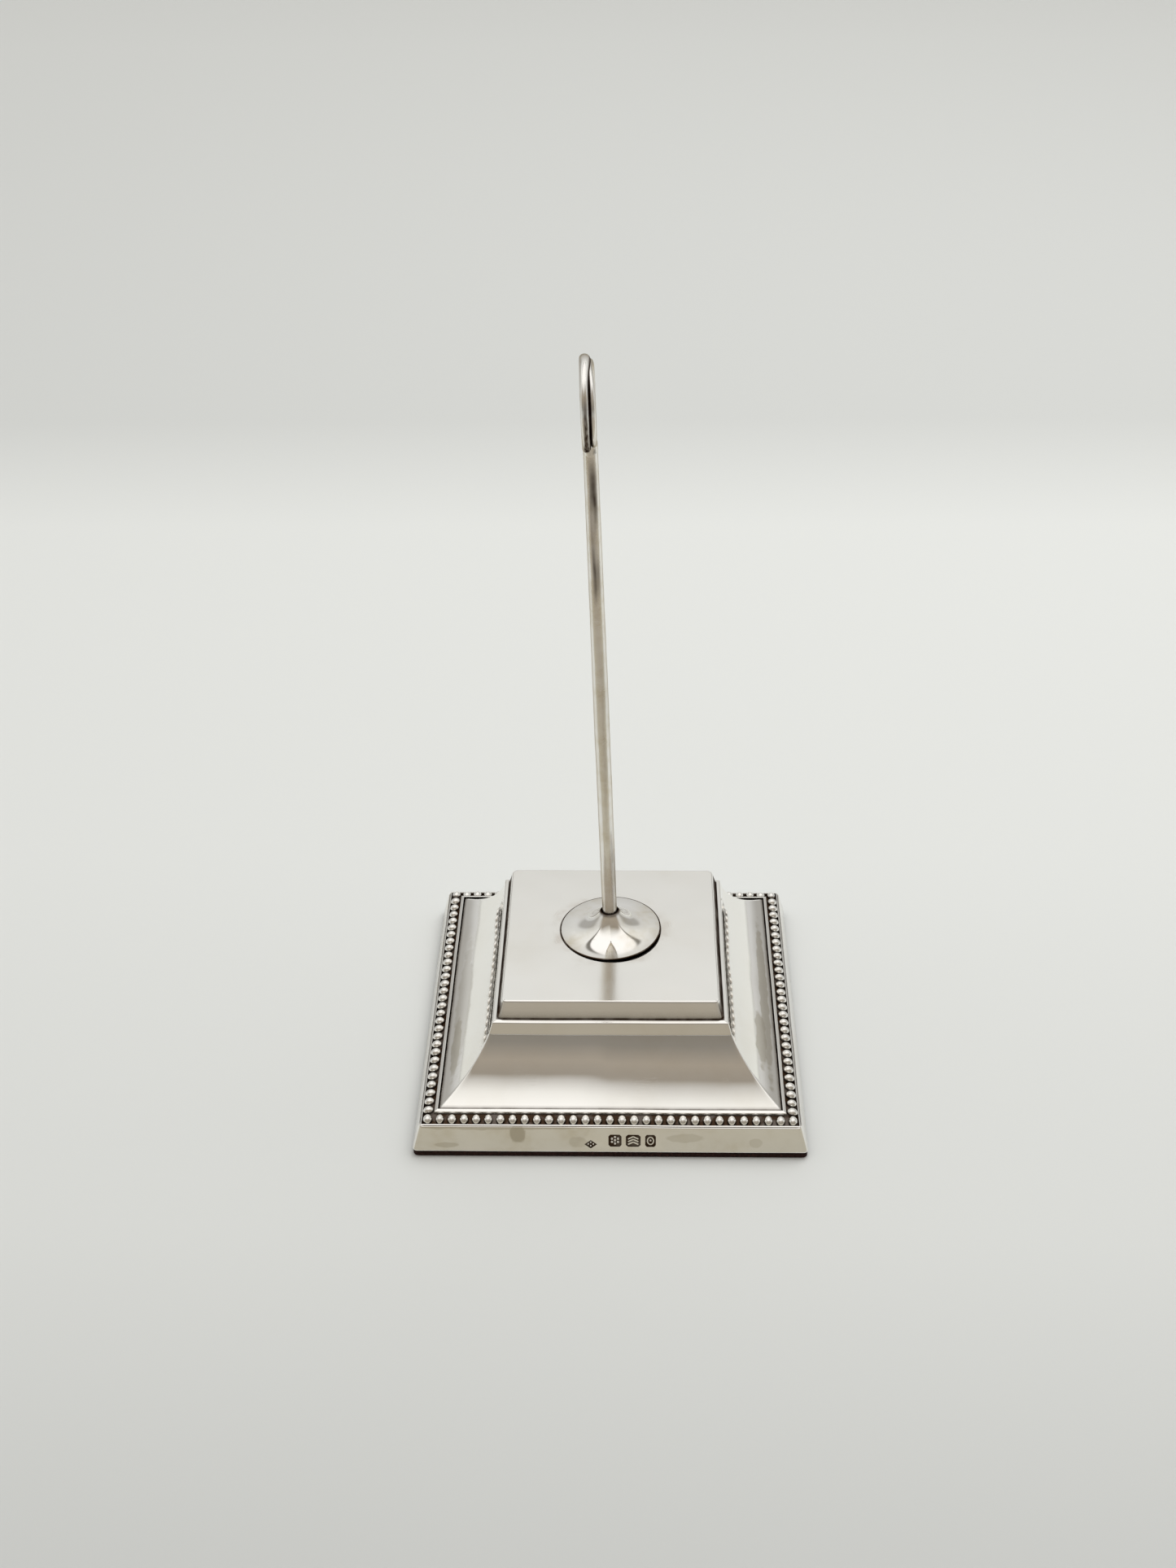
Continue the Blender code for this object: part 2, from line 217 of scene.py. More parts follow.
# %% The overhead panel and the opening in front
# The panel lies on a level ceiling, so a direction meets it at (X / Z, Y / Z).
ceiling = math_node(sky, "MAXIMUM", parts["Z"], 0.12)
panel_x = math_node(sky, "DIVIDE", aside, ceiling)
panel_y = math_node(sky, "DIVIDE", parts["Y"], ceiling)
half_width = math_node(sky, "SUBTRACT", 0.78, math_node(sky, "MULTIPLY", panel_y, 0.76))
past_side = math_node(sky, "SUBTRACT", panel_x, half_width)
before_back = smooth_range(sky, panel_y, 0.78, 0.90, 1.0, 0.0)
inside_panel = math_node(sky, "MULTIPLY", smooth_range(sky, past_side, -0.06, 0.0, 1.0, 0.0), before_back)
side_line = smooth_range(sky, math_node(sky, "ABSOLUTE", past_side), 0.02, 0.08, 1.0, 0.0)
frame_line = math_node(sky, "MULTIPLY", side_line, before_back)
overhead = smooth_range(sky, parts["Z"], 0.30, 0.45)
panel_light = mix_colour(sky, math_node(sky, "MULTIPLY", inside_panel, overhead), tent_light, PANEL_WHITE)
panel_light = mix_colour(sky, math_node(sky, "MULTIPLY", frame_line, overhead), panel_light, FRAME_DARK)

# The opening reaches a little higher on the right.
leaning = smooth_range(sky, parts["X"], -0.035, 0.0, 0.0, 0.035)
room_light = colour_ramp(sky, sky_height(leaning), ROOM)
toward_front = math_node(sky, "MULTIPLY", parts["Y"], -1.0)
in_front = smooth_range(sky, toward_front, 0.10, 0.42)
seen = mix_colour(sky, in_front, panel_light, room_light)
light = add_node(sky, "ShaderNodeBackground", Color=seen, Strength=1.0)
add_node(sky, "ShaderNodeOutputWorld", Surface=light.outputs["Background"])
print("the sky has", len(TENT), "tent tones and", len(ROOM), "room tones")

# %% [markdown]
# ## Floor, key light and reflection card
#
# The floor is one large sheet of pale paper. Its colour carries painted shade: darker near the
# front edge and again far behind. One soft light above and behind gives the contact shadow. A
# grey card is often laid in front of silver, just out of view, so that the upright bands have
# something darker to mirror. The card here is lighter near the foot and shows only in
# reflections: it is hidden from the camera and throws no shadow.

# %% Paper floor
FLOOR_HALF = 3.0
FLOOR_START = -0.15
FLOOR_RUN = 0.90
PAPER_TINT = (0.975, 1.0, 0.985)
# Distance behind the foot's middle in metres, and the tone of the painted shade there.
FLOOR_PAINTED_SHADE = (
    (-0.15, 0.58),
    (-0.05, 0.77),
    (0.05, 0.83),
    (0.20, 0.845),
    (0.27, 0.72),
    (0.75, 0.80),
)


def flat_sheet(name, low, high, height, material):
    """A rectangle lying level, from one corner to the other."""
    mesh = bpy.data.meshes.new(name)
    corners = ((low[0], low[1]), (high[0], low[1]), (high[0], high[1]), (low[0], high[1]))
    mesh.from_pydata([(x, y, height) for x, y in corners], [], [(0, 1, 2, 3)])
    mesh.materials.append(material)
    sheet = bpy.data.objects.new(name, mesh)
    bpy.context.scene.collection.objects.link(sheet)
    return sheet


def along_y(tree, start, run):
    """Where a point lies along Y, from 0 at the start to 1 at the end of the run."""
    place = add_node(tree, "ShaderNodeTexCoord").outputs["Object"]
    depth = add_node(tree, "ShaderNodeSeparateXYZ", Vector=place).outputs["Y"]
    return math_node(tree, "DIVIDE", math_node(tree, "SUBTRACT", depth, start), run, clamp=True)


def floor_material():
    material = bpy.data.materials.new("pale_paper_painted_shade")
    material.use_nodes = True
    tree = material.node_tree
    shader = tree.nodes["Principled BSDF"]
    stops = []
    for distance, tone in FLOOR_PAINTED_SHADE:
        colour = tuple(tone * part for part in PAPER_TINT)
        stops.append(((distance - FLOOR_START) / FLOOR_RUN, colour))
    # Painted shade: the paper's colour darkens near the front edge and again far behind.
    shade = colour_ramp(tree, along_y(tree, FLOOR_START, FLOOR_RUN), stops)
    tree.links.new(shade, shader.inputs["Base Color"])
    shader.inputs["Roughness"].default_value = 0.95
    shader.inputs["Specular IOR Level"].default_value = 0.1
    return material


flat_sheet("floor", (-FLOOR_HALF, -FLOOR_HALF), (FLOOR_HALF, FLOOR_HALF), 0.0, floor_material())
print("the floor's tone has", len(FLOOR_PAINTED_SHADE), "stops")


# %% Reflection card
CARD_NEAR = -0.034
CARD_FAR = -0.50
CARD_HALF = 0.30


def card_material():
    """A card that glows by itself, lighter near the foot, with a cooler middle."""
    material = bpy.data.materials.new("card_grey")
    material.use_nodes = True
    tree = material.node_tree
    tree.nodes.clear()
    stops = (
        (0.00, (0.34, 0.30, 0.25)),
        (0.78, (0.39, 0.35, 0.29)),
        (0.865, (0.41, 0.37, 0.30)),
        (0.93, (0.44, 0.405, 0.325)),
        (1.00, (0.50, 0.475, 0.40)),
    )
    shade = colour_ramp(tree, along_y(tree, CARD_FAR, CARD_NEAR - CARD_FAR), stops)
    glow = add_node(tree, "ShaderNodeEmission", Color=shade, Strength=1.0)
    add_node(tree, "ShaderNodeOutputMaterial", Surface=glow.outputs["Emission"])
    return material


card = flat_sheet("reflection_card", (-CARD_HALF, CARD_FAR), (CARD_HALF, CARD_NEAR), 0.0004, card_material())
card.visible_camera = False
card.visible_diffuse = False
card.visible_shadow = False


# %% Key light
def soft_light(name, place, target, size, power):
    """A square area light that looks at a point."""
    data = bpy.data.lights.new(name, "AREA")
    data.size = size
    data.energy = power
    lamp = bpy.data.objects.new(name, data)
    lamp.location = place
    lamp.rotation_euler = (Vector(target) - Vector(place)).to_track_quat("-Z", "Y").to_euler()
    bpy.context.scene.collection.objects.link(lamp)
    return lamp


key = soft_light("key_light", (0.22, 0.25, 0.75), (0, 0, 0), 0.5, 1.95)
key.visible_glossy = False
print("the key light is", key.data.size, "m wide")

# %% [markdown]
# ## Measurements taken from the frame
#
# The frame's boxes say how wide and how high each piece is, and its joints say where the
# stem's axis runs. Everything below is placed from these few values.

# %% Measurements
foot_low, foot_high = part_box("foot_rim")
cove_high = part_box("cove_body")[1]
cap_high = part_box("cap_plate")[1]
felt_low, felt_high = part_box("felt_pad")
SILVER_BOTTOM = foot_low.z
FOOT_HALF = foot_high.x
FOOT_TOP_HALF = FOOT_HALF - 1.25 * MM
FOOT_HEIGHT = 4.51 * MM
FOOT_TOP = SILVER_BOTTOM + FOOT_HEIGHT
LEDGE = cove_high.z
COVE_HALF = cove_high.x
CAP_HALF = cap_high.x
CAP_TOP = cap_high.z
FELT_HALF = felt_high.x

joints = {joint["name"]: joint for joint in frame["joints"]}
stem_axis = Vector(joints["stem_swivel"]["axis"]).normalized()
swivel = Vector(joints["stem_swivel"]["pos_m"])
stem_root = swivel - stem_axis * (swivel.z / stem_axis.z)
clip_along = Vector(joints["clip_flex"]["axis"]).normalized()


def frame_along(axis, side):
    """Axes standing on the stem's root: Z along the stem and Y along the given side."""
    turned = Matrix((side.cross(axis), side, axis)).transposed().to_4x4()
    return Matrix.Translation(stem_root) @ turned


stem_frame = frame_along(stem_axis, Vector((0, 1, 0)))
clip_frame = frame_along(stem_axis, clip_along)
print("the stem leans", round(math.degrees(stem_axis.angle(Vector((0, 0, 1)))), 2), "degrees")

# %% [markdown]
# ## Shared surface effects
#
# Old silver is never plain. A thin yellowish film of tarnish comes back in patches, dirt stays
# in the corners that a polishing cloth can't reach, and years of rubbing leave fine scratches,
# tiny pits and soft waves. Each effect is one node group, built once and used by several
# materials. The meshes carry one attribute that darkens the colour: 1 in the corners, 0 where a
# cloth reaches. It stands for real dirt and oxide in the hollows, and also for painted shade in
# joints and gaps and for painted dark reflections on the stem and the clip.

# %% Start a shader node group
def new_group(name, inputs, result_name):
    """A shader group with a Vector input, some float inputs and one float output."""
    group = bpy.data.node_groups.new(name, "ShaderNodeTree")
    group.interface.new_socket("Vector", in_out="INPUT", socket_type="NodeSocketVector")
    for label, value in inputs:
        socket = group.interface.new_socket(label, in_out="INPUT", socket_type="NodeSocketFloat")
        socket.default_value = value
    group.interface.new_socket(result_name, in_out="OUTPUT", socket_type="NodeSocketFloat")
    given = group.nodes.new("NodeGroupInput").outputs
    result = group.nodes.new("NodeGroupOutput").inputs[result_name]
    return group, given, result


def noise_value(tree, vector, scale, detail=2.0):
    node = add_node(tree, "ShaderNodeTexNoise", Vector=vector, Scale=scale, Detail=detail)
    return node.outputs["Fac"]


# %% Tarnish film
def build_film_group():
    """Patchy tarnish: two sizes of noise, kept to a chosen amount."""
    group, given, result = new_group("tarnish_film", (("Scale", 60.0), ("Amount", 0.3)), "Mask")
    finer = math_node(group, "MULTIPLY", given["Scale"], 5.0)
    large = noise_value(group, given["Vector"], given["Scale"], 3.0)
    small = noise_value(group, given["Vector"], finer, 4.0)
    broad = smooth_range(group, large, 0.38, 0.68)
    speckle = smooth_range(group, small, 0.30, 0.75, 0.4, 1.0)
    patches = math_node(group, "MULTIPLY", broad, speckle)
    group.links.new(math_node(group, "MULTIPLY", patches, given["Amount"], clamp=True), result)
    return group


# %% Hairline scratches
def build_scratch_group():
    """Hairline scratches: thin level lines of noise that is stretched along two directions."""
    group, given, result = new_group("hair_scratches", (("Scale", 160.0), ("Width", 0.010)), "Lines")
    lines = []
    for turn, stretch in ((25.0, 9.0), (-50.0, 14.0)):
        mapping = add_node(group, "ShaderNodeMapping", Vector=given["Vector"])
        mapping.inputs["Rotation"].default_value = (0.3, 0.2, math.radians(turn))
        mapping.inputs["Scale"].default_value = (1.0, stretch, stretch)
        grain = noise_value(group, mapping.outputs["Vector"], given["Scale"], 1.0)
        distance = math_node(group, "ABSOLUTE", math_node(group, "SUBTRACT", grain, 0.5))
        near = math_node(group, "DIVIDE", distance, given["Width"])
        lines.append(math_node(group, "SUBTRACT", 1.0, near, clamp=True))
    both = math_node(group, "MAXIMUM", lines[0], lines[1])
    kept = smooth_range(group, noise_value(group, given["Vector"], 220.0), 0.54, 0.68)
    group.links.new(math_node(group, "MULTIPLY", both, kept), result)
    return group


# %% Pits
def build_pit_group():
    """Tiny dark pits, one in a few of the cells of a Voronoi pattern."""
    group, given, result = new_group("pits", (("Scale", 260.0), ("Share", 0.04)), "Mask")
    cells = add_node(group, "ShaderNodeTexVoronoi", Vector=given["Vector"], Scale=given["Scale"])
    near = smooth_range(group, cells.outputs["Distance"], 0.05, 0.13, 1.0, 0.0)
    draw = add_node(group, "ShaderNodeSeparateColor", Color=cells.outputs["Color"]).outputs["Red"]
    chosen = math_node(group, "LESS_THAN", draw, given["Share"])
    group.links.new(math_node(group, "MULTIPLY", near, chosen), result)
    return group


# %% Stain patches
def build_patch_group():
    """One soft-edged oval patch with a ragged outline, at a place on the piece."""
    inputs = (("X", 0.0), ("Y", 0.0), ("Z", 0.0), ("Width", 1.0), ("Depth", 1.0), ("Height", 1.0))
    group, given, result = new_group("stain_patch", inputs, "Mask")
    place = add_node(group, "ShaderNodeCombineXYZ", X=given["X"], Y=given["Y"], Z=given["Z"])
    size = add_node(group, "ShaderNodeCombineXYZ", X=given["Width"], Y=given["Depth"], Z=given["Height"])
    away = add_node(group, "ShaderNodeVectorMath", {"operation": "SUBTRACT"})
    group.links.new(given["Vector"], away.inputs[0])
    group.links.new(place.outputs[0], away.inputs[1])
    scaled = add_node(group, "ShaderNodeVectorMath", {"operation": "DIVIDE"})
    group.links.new(away.outputs[0], scaled.inputs[0])
    group.links.new(size.outputs[0], scaled.inputs[1])
    length = add_node(group, "ShaderNodeVectorMath", {"operation": "LENGTH"})
    group.links.new(scaled.outputs[0], length.inputs[0])
    ragged = math_node(group, "MULTIPLY", noise_value(group, given["Vector"], 420.0, 3.0), 0.9)
    reach = math_node(group, "ADD", length.outputs["Value"], ragged)
    group.links.new(smooth_range(group, reach, 1.25, 1.50, 1.0, 0.0), result)
    return group


FILM = build_film_group()
SCRATCHES = build_scratch_group()
PITS = build_pit_group()
PATCH = build_patch_group()
print("shared effects:", ", ".join(group.name for group in (FILM, SCRATCHES, PITS, PATCH)))


def use_group(tree, group, vector, **values):
    """Put a group in a material and fill its inputs by name."""
    node = tree.nodes.new("ShaderNodeGroup")
    node.node_tree = group
    tree.links.new(vector, node.inputs["Vector"])
    for key, value in values.items():
        node.inputs[key].default_value = value
    return node.outputs[0]


# %% [markdown]
# ## Silver
#
# One function makes every silver finish. The clean metal is nearly white and slightly warm.
# The film tints it towards straw, stains turn it a dull grey, and the darkening attribute turns
# it to a dark brown that hardly reflects: grime in hollows, and elsewhere painted shade and
# painted dark reflections. Roughness rises with film, that darkening and scratches. Two Bump
# nodes in a row bend the mirror image: broad soft waves first, then the hairlines.

# %% Silver finishes
CLEAN_SILVER = (0.955, 0.940, 0.905)
STRAW_FILM = (0.74, 0.67, 0.53)
GREY_STAIN = (0.60, 0.56, 0.47)
# Dark brown and its grazing tint: grime, and also painted shade in joints and gaps and painted dark
# reflections.
GRIME_AND_SHADE_BROWN = (0.060, 0.036, 0.022)
GRAZING_GRIME_AND_SHADE = (0.10, 0.08, 0.06)
PIT_BROWN = (0.10, 0.07, 0.05)
# How metal looks at a glancing angle: pale when clean, tan under a film that is seen edge on.
PALE = (1.0, 1.0, 1.0)
TAN_EDGE = (0.46, 0.41, 0.33)


def start_material(name):
    material = bpy.data.materials.new(name)
    material.use_nodes = True
    tree = material.node_tree
    place = add_node(tree, "ShaderNodeTexCoord").outputs["Object"]
    return material, tree, tree.nodes["Principled BSDF"], place


def silver(name, roughness, film, waves, hairlines, film_scale=60.0, pits=0.0, stains=(), edge=PALE):
    """A silver finish; stains are (x, y, z, width, depth, height, strength) in metres."""
    material, tree, shader, place = start_material(name)
    grime_and_shade = add_node(tree, "ShaderNodeAttribute", {"attribute_name": "grime_and_shade"}).outputs["Fac"]
    patches = use_group(tree, FILM, place, Scale=film_scale, Amount=film)
    lines = use_group(tree, SCRATCHES, place)
    colour = mix_colour(tree, patches, CLEAN_SILVER, STRAW_FILM)
    dull = patches
    for x, y, z, width, depth, height, strength in stains:
        mark = use_group(tree, PATCH, place, X=x, Y=y, Z=z, Width=width, Depth=depth, Height=height)
        mark = math_node(tree, "MULTIPLY", mark, strength)
        colour = mix_colour(tree, mark, colour, GREY_STAIN)
        dull = math_node(tree, "MAXIMUM", dull, mark)
    if pits:
        colour = mix_colour(tree, use_group(tree, PITS, place, Share=pits), colour, PIT_BROWN)
    uneven = smooth_range(tree, noise_value(tree, place, 450.0), 0.3, 0.7, 0.9, 1.1)
    # Darkening by grime and painted shade, made a little uneven by noise.
    dirt_and_shade = math_node(tree, "MULTIPLY", grime_and_shade, uneven, clamp=True)
    tree.links.new(mix_colour(tree, dirt_and_shade, colour, GRIME_AND_SHADE_BROWN), shader.inputs["Base Color"])
    edge_tint = mix_colour(tree, dirt_and_shade, edge, GRAZING_GRIME_AND_SHADE)
    tree.links.new(edge_tint, shader.inputs["Specular Tint"])
    shader.inputs["Metallic"].default_value = 1.0
    rough = math_node(tree, "MULTIPLY", dirt_and_shade, 0.30)
    rough = math_node(tree, "ADD", rough, math_node(tree, "MULTIPLY", dull, 0.10))
    rough = math_node(tree, "ADD", rough, math_node(tree, "MULTIPLY", lines, 0.10))
    tree.links.new(math_node(tree, "ADD", rough, roughness), shader.inputs["Roughness"])
    broad = add_node(tree, "ShaderNodeBump", Height=noise_value(tree, place, 90.0, 1.0))
    broad.inputs["Strength"].default_value = waves
    broad.inputs["Distance"].default_value = 0.0006
    fine = add_node(tree, "ShaderNodeBump", Height=lines, Normal=broad.outputs["Normal"])
    fine.inputs["Strength"].default_value = hairlines
    fine.inputs["Distance"].default_value = 0.00001
    fine.invert = True
    tree.links.new(fine.outputs["Normal"], shader.inputs["Normal"])
    return material


# %% Where the stains are, and the finishes
band_front = -FOOT_HALF + 0.6 * MM
BAND_STAINS = (
    (-15.2 * MM, band_front, FOOT_TOP - 1.0 * MM, 1.5 * MM, 2.0 * MM, 1.9 * MM, 0.9),
    (-19.0 * MM, band_front, FOOT_TOP, 14.0 * MM, 2.0 * MM, 0.55 * MM, 0.6),
    (12.5 * MM, band_front, FOOT_TOP - 1.8 * MM, 3.2 * MM, 2.0 * MM, 0.8 * MM, 0.35),
    (-5.2 * MM, band_front, FOOT_TOP - 2.6 * MM, 1.6 * MM, 2.0 * MM, 1.1 * MM, 0.35),
    (-27.0 * MM, band_front, FOOT_TOP - 3.2 * MM, 2.2 * MM, 2.0 * MM, 0.5 * MM, 0.5),
    (24.0 * MM, band_front, FOOT_TOP - 2.6 * MM, 1.2 * MM, 2.0 * MM, 0.9 * MM, 0.3),
)
COVE_STAINS = (
    (25.6 * MM, -13.0 * MM, SILVER_BOTTOM + 6.7 * MM, 1.2 * MM, 8.0 * MM, 2.0 * MM, 0.8),
    (26.9 * MM, -2.0 * MM, SILVER_BOTTOM + 6.2 * MM, 0.9 * MM, 22.0 * MM, 2.0 * MM, 0.7),
    (-26.0 * MM, -4.0 * MM, SILVER_BOTTOM + 6.6 * MM, 1.5 * MM, 18.0 * MM, 3.0 * MM, 0.35),
    (-26.6 * MM, -15.0 * MM, SILVER_BOTTOM + 6.4 * MM, 0.9 * MM, 8.0 * MM, 2.0 * MM, 0.7),
)
MIRROR = silver("mirror_silver", roughness=0.04, film=0.80, waves=0.10, hairlines=0.15, film_scale=130.0)
COVE = silver("cove_silver", 0.06, 0.20, 0.14, 0.08, pits=0.012, stains=COVE_STAINS)
BAND = silver("stained_silver", 0.11, 0.55, 0.20, 0.35, film_scale=130.0, pits=0.02, stains=BAND_STAINS)
BEADED = silver("beaded_silver", 0.14, 0.12, 0.10, 0.1)
WIRE = silver("wire_silver", 0.20, 0.60, 0.60, 0.2, film_scale=260.0, pits=0.05, edge=TAN_EDGE)


# %% The cap's finish
def satin_silver():
    """The cap: a soft polish, a painted shadow line under the flange's rim and marks worn round it."""
    material = silver("satin_silver", 0.15, 0.15, 0.10, 0.12, pits=0.012)
    tree = material.node_tree
    shader = tree.nodes["Principled BSDF"]
    place = add_node(tree, "ShaderNodeTexCoord").outputs["Object"]
    spot = add_node(tree, "ShaderNodeSeparateXYZ", Vector=place).outputs
    away_x = math_node(tree, "SUBTRACT", spot["X"], swivel.x)
    away_y = math_node(tree, "SUBTRACT", spot["Y"], swivel.y)
    square_x = math_node(tree, "POWER", away_x, 2.0)
    square_y = math_node(tree, "POWER", away_y, 2.0)
    radius = math_node(tree, "SQRT", math_node(tree, "ADD", square_x, square_y))
    broken = noise_value(tree, place, 240.0, 3.0)

    near_rim = smooth_range(tree, radius, 0.0089, 0.0112, 1.0, 0.0)
    halo = math_node(tree, "MULTIPLY", near_rim, smooth_range(tree, broken, 0.42, 0.66, 0.1, 0.75))
    ripple = math_node(tree, "SINE", math_node(tree, "MULTIPLY", radius, 15000.0))
    crests = smooth_range(tree, ripple, 0.80, 1.0)
    worn = math_node(tree, "MULTIPLY", crests, smooth_range(tree, broken, 0.58, 0.66))
    worn = math_node(tree, "MULTIPLY", worn, smooth_range(tree, radius, 0.0100, 0.0130, 1.0, 0.0))
    halo = math_node(tree, "MULTIPLY", halo, 0.40)
    marks = math_node(tree, "MAXIMUM", halo, math_node(tree, "MULTIPLY", worn, 0.5))
    # Painted shadow: a dark line on the cap just under the flange's rim.
    rim_painted_shadow = smooth_range(tree, radius, 0.00870, 0.00895, 1.0, 0.0)

    colour = shader.inputs["Base Color"].links[0].from_socket
    colour = mix_colour(tree, marks, colour, (0.50, 0.40, 0.31))
    tree.links.new(mix_colour(tree, rim_painted_shadow, colour, GRIME_AND_SHADE_BROWN), shader.inputs["Base Color"])
    return material


SATIN = satin_silver()


# %% [markdown]
# ## Felt, wood, cement and brass
#
# The felt is a mat of fibres: its colour is mottled at the size of a fibre and a little sheen
# catches the light at grazing angles. The board, the loading and the brass hardware are out
# of sight until the piece is taken apart, but each still gets its own grain.

# %% Felt and grained finishes
def felt_material():
    material, tree, shader, place = start_material("maroon_felt")
    fibres = noise_value(tree, place, 2600.0, 5.0)
    stops = ((0.30, (0.010, 0.004, 0.003)), (0.55, (0.026, 0.009, 0.007)), (0.78, (0.075, 0.026, 0.020)))
    tree.links.new(colour_ramp(tree, fibres, stops), shader.inputs["Base Color"])
    shader.inputs["Roughness"].default_value = 0.95
    shader.inputs["Sheen Weight"].default_value = 0.03
    shader.inputs["Specular IOR Level"].default_value = 0.15
    bump = add_node(tree, "ShaderNodeBump", Height=fibres)
    bump.inputs["Strength"].default_value = 0.8
    bump.inputs["Distance"].default_value = 0.0002
    tree.links.new(bump.outputs["Normal"], shader.inputs["Normal"])
    return material


def grained_material(name, dark, pale, stretch, scale, roughness, metallic=0.0):
    """Wood, cement or brass: noise stretched along one direction, in two tones."""
    material, tree, shader, place = start_material(name)
    mapping = add_node(tree, "ShaderNodeMapping", Vector=place)
    mapping.inputs["Scale"].default_value = stretch
    grain = noise_value(tree, mapping.outputs["Vector"], scale, 6.0)
    tree.links.new(colour_ramp(tree, grain, ((0.35, dark), (0.65, pale))), shader.inputs["Base Color"])
    rough = smooth_range(tree, grain, 0.3, 0.7, roughness + 0.1, roughness)
    tree.links.new(rough, shader.inputs["Roughness"])
    shader.inputs["Metallic"].default_value = metallic
    bump = add_node(tree, "ShaderNodeBump", Height=grain)
    bump.inputs["Strength"].default_value = 0.4
    bump.inputs["Distance"].default_value = 0.0001
    tree.links.new(bump.outputs["Normal"], shader.inputs["Normal"])
    return material


FELT = felt_material()
WOOD = grained_material("base_wood", (0.13, 0.065, 0.030), (0.32, 0.18, 0.09), (1, 14, 14), 90.0, 0.65)
CEMENT = grained_material("loading_cement", (0.16, 0.14, 0.12), (0.42, 0.38, 0.33), (1, 1, 1), 700.0, 0.85)
DARK_BRASS = (0.62, 0.44, 0.17)
PALE_BRASS = (0.80, 0.60, 0.28)
BRASS = grained_material("brass_hardware", DARK_BRASS, PALE_BRASS, (1, 1, 8), 900.0, 0.28, 1.0)

# %% Finishes of the inner pieces
INNER_FINISHES = (
    ("base_board", WOOD),
    ("weight_filling", CEMENT),
    ("thrust_washer", BRASS),
    ("deck_washer", BRASS),
    ("stem_nut", BRASS),
)
for node_name, finish in INNER_FINISHES:
    node_mesh = frame["nodes"][node_name].data
    node_mesh.materials.clear()
    node_mesh.materials.append(finish)
print("carried over from the frame:", ", ".join(name for name, finish in INNER_FINISHES))


# %% [markdown]
# ## Turning an outline into a square or a round shell
#
# The foot, the shell and the cap are all the same kind of shape: one outline carried round a
# square. Real sheet has no knife edges, so each corner of the outline is first rounded, and a
# point on each side of the rounding holds the flats flat. The corners of the square are
# rounded too. Hand-raised metal is never true, so every point of the base is also shifted by
# a few hundredths of a millimetre of smooth noise. All pieces share that one field of noise,
# so neighbours still meet.
#
# An outline point is (distance from the middle, height, rounding, darkening by grime and painted shade).

# %% Outlines
SIDE_STEPS = 20
HAND_SHIFT = 0.05 * MM
HAND_WAVES = 75.0


def by_hand(point):
    """Shift a point as uneven hand work would."""
    return point + noise.noise_vector(point * HAND_WAVES) * HAND_SHIFT


def soften(outline, steps=4, closed=True, hold=0.12 * MM):
    """Round each corner of an outline by its own radius, and hold the flats beside it."""
    result = []
    count = len(outline)
    for index, (x, z, radius, grime_and_shade) in enumerate(outline):
        here = Vector((x, z))
        if radius == 0 or (not closed and index in (0, count - 1)):
            result.append((x, z, grime_and_shade))
            continue
        before = Vector(outline[index - 1][:2]) - here
        after = Vector(outline[(index + 1) % count][:2]) - here
        reach = min(radius, 0.42 * before.length, 0.42 * after.length)
        margin = min(hold, 0.06 * before.length, 0.06 * after.length)
        first = here + before.normalized() * reach
        last = here + after.normalized() * reach
        result.append((*(first + before.normalized() * margin), grime_and_shade))
        for step in range(steps + 1):
            t = step / steps
            point = first * (1 - t) ** 2 + here * 2 * t * (1 - t) + last * t ** 2
            result.append((point.x, point.y, grime_and_shade))
        result.append((*(last + after.normalized() * margin), grime_and_shade))
    return result


# %% Rings
def square_ring(half, height, corner, corner_steps=6, hold=0.5 * MM):
    """Points round a rounded square: along a side, round its corner, then the next side."""
    points = []
    straight = half - corner - hold
    for quarter in range(4):
        turned = Matrix.Rotation(math.radians(90 * quarter), 2)
        side = [Vector((half, straight * (2 * step / SIDE_STEPS - 1))) for step in range(SIDE_STEPS + 1)]
        for step in range(corner_steps + 1):
            angle = math.radians(90 * step / corner_steps)
            reach = Vector((math.cos(angle), math.sin(angle))) * corner
            side.append(Vector((half - corner, half - corner)) + reach)
        points += [(*(turned @ point), height) for point in side]
    return points


def round_ring(radius, height, sides=96):
    angles = [2 * math.pi * side / sides for side in range(sides)]
    return [(radius * math.cos(angle), radius * math.sin(angle), height) for angle in angles]


# %% Skins
def skin(name, rings, grime_and_shade_values, material, closed, place=None, uneven=False):
    """Join a stack of rings into one mesh; each ring has a darkening value for grime and painted shade, or
    one for each point.
    """
    mesh_data = bmesh.new()
    layer = mesh_data.verts.layers.float.new("grime_and_shade")
    rows = []
    for ring, grime_and_shade in zip(rings, grime_and_shade_values):
        row = [mesh_data.verts.new(point) for point in ring]
        values = grime_and_shade if isinstance(grime_and_shade, list) else [grime_and_shade] * len(row)
        for vertex, value in zip(row, values):
            vertex[layer] = value
        rows.append(row)
    pairs = list(zip(rows, rows[1:]))
    if closed:
        pairs.append((rows[-1], rows[0]))
    else:
        mesh_data.faces.new(rows[0])
        mesh_data.faces.new(rows[-1])
    for lower, upper in pairs:
        for index in range(len(lower)):
            after = (index + 1) % len(lower)
            mesh_data.faces.new((lower[index], lower[after], upper[after], upper[index]))
    bmesh.ops.recalc_face_normals(mesh_data, faces=mesh_data.faces)
    return finish_mesh(name, mesh_data, material, place, uneven)


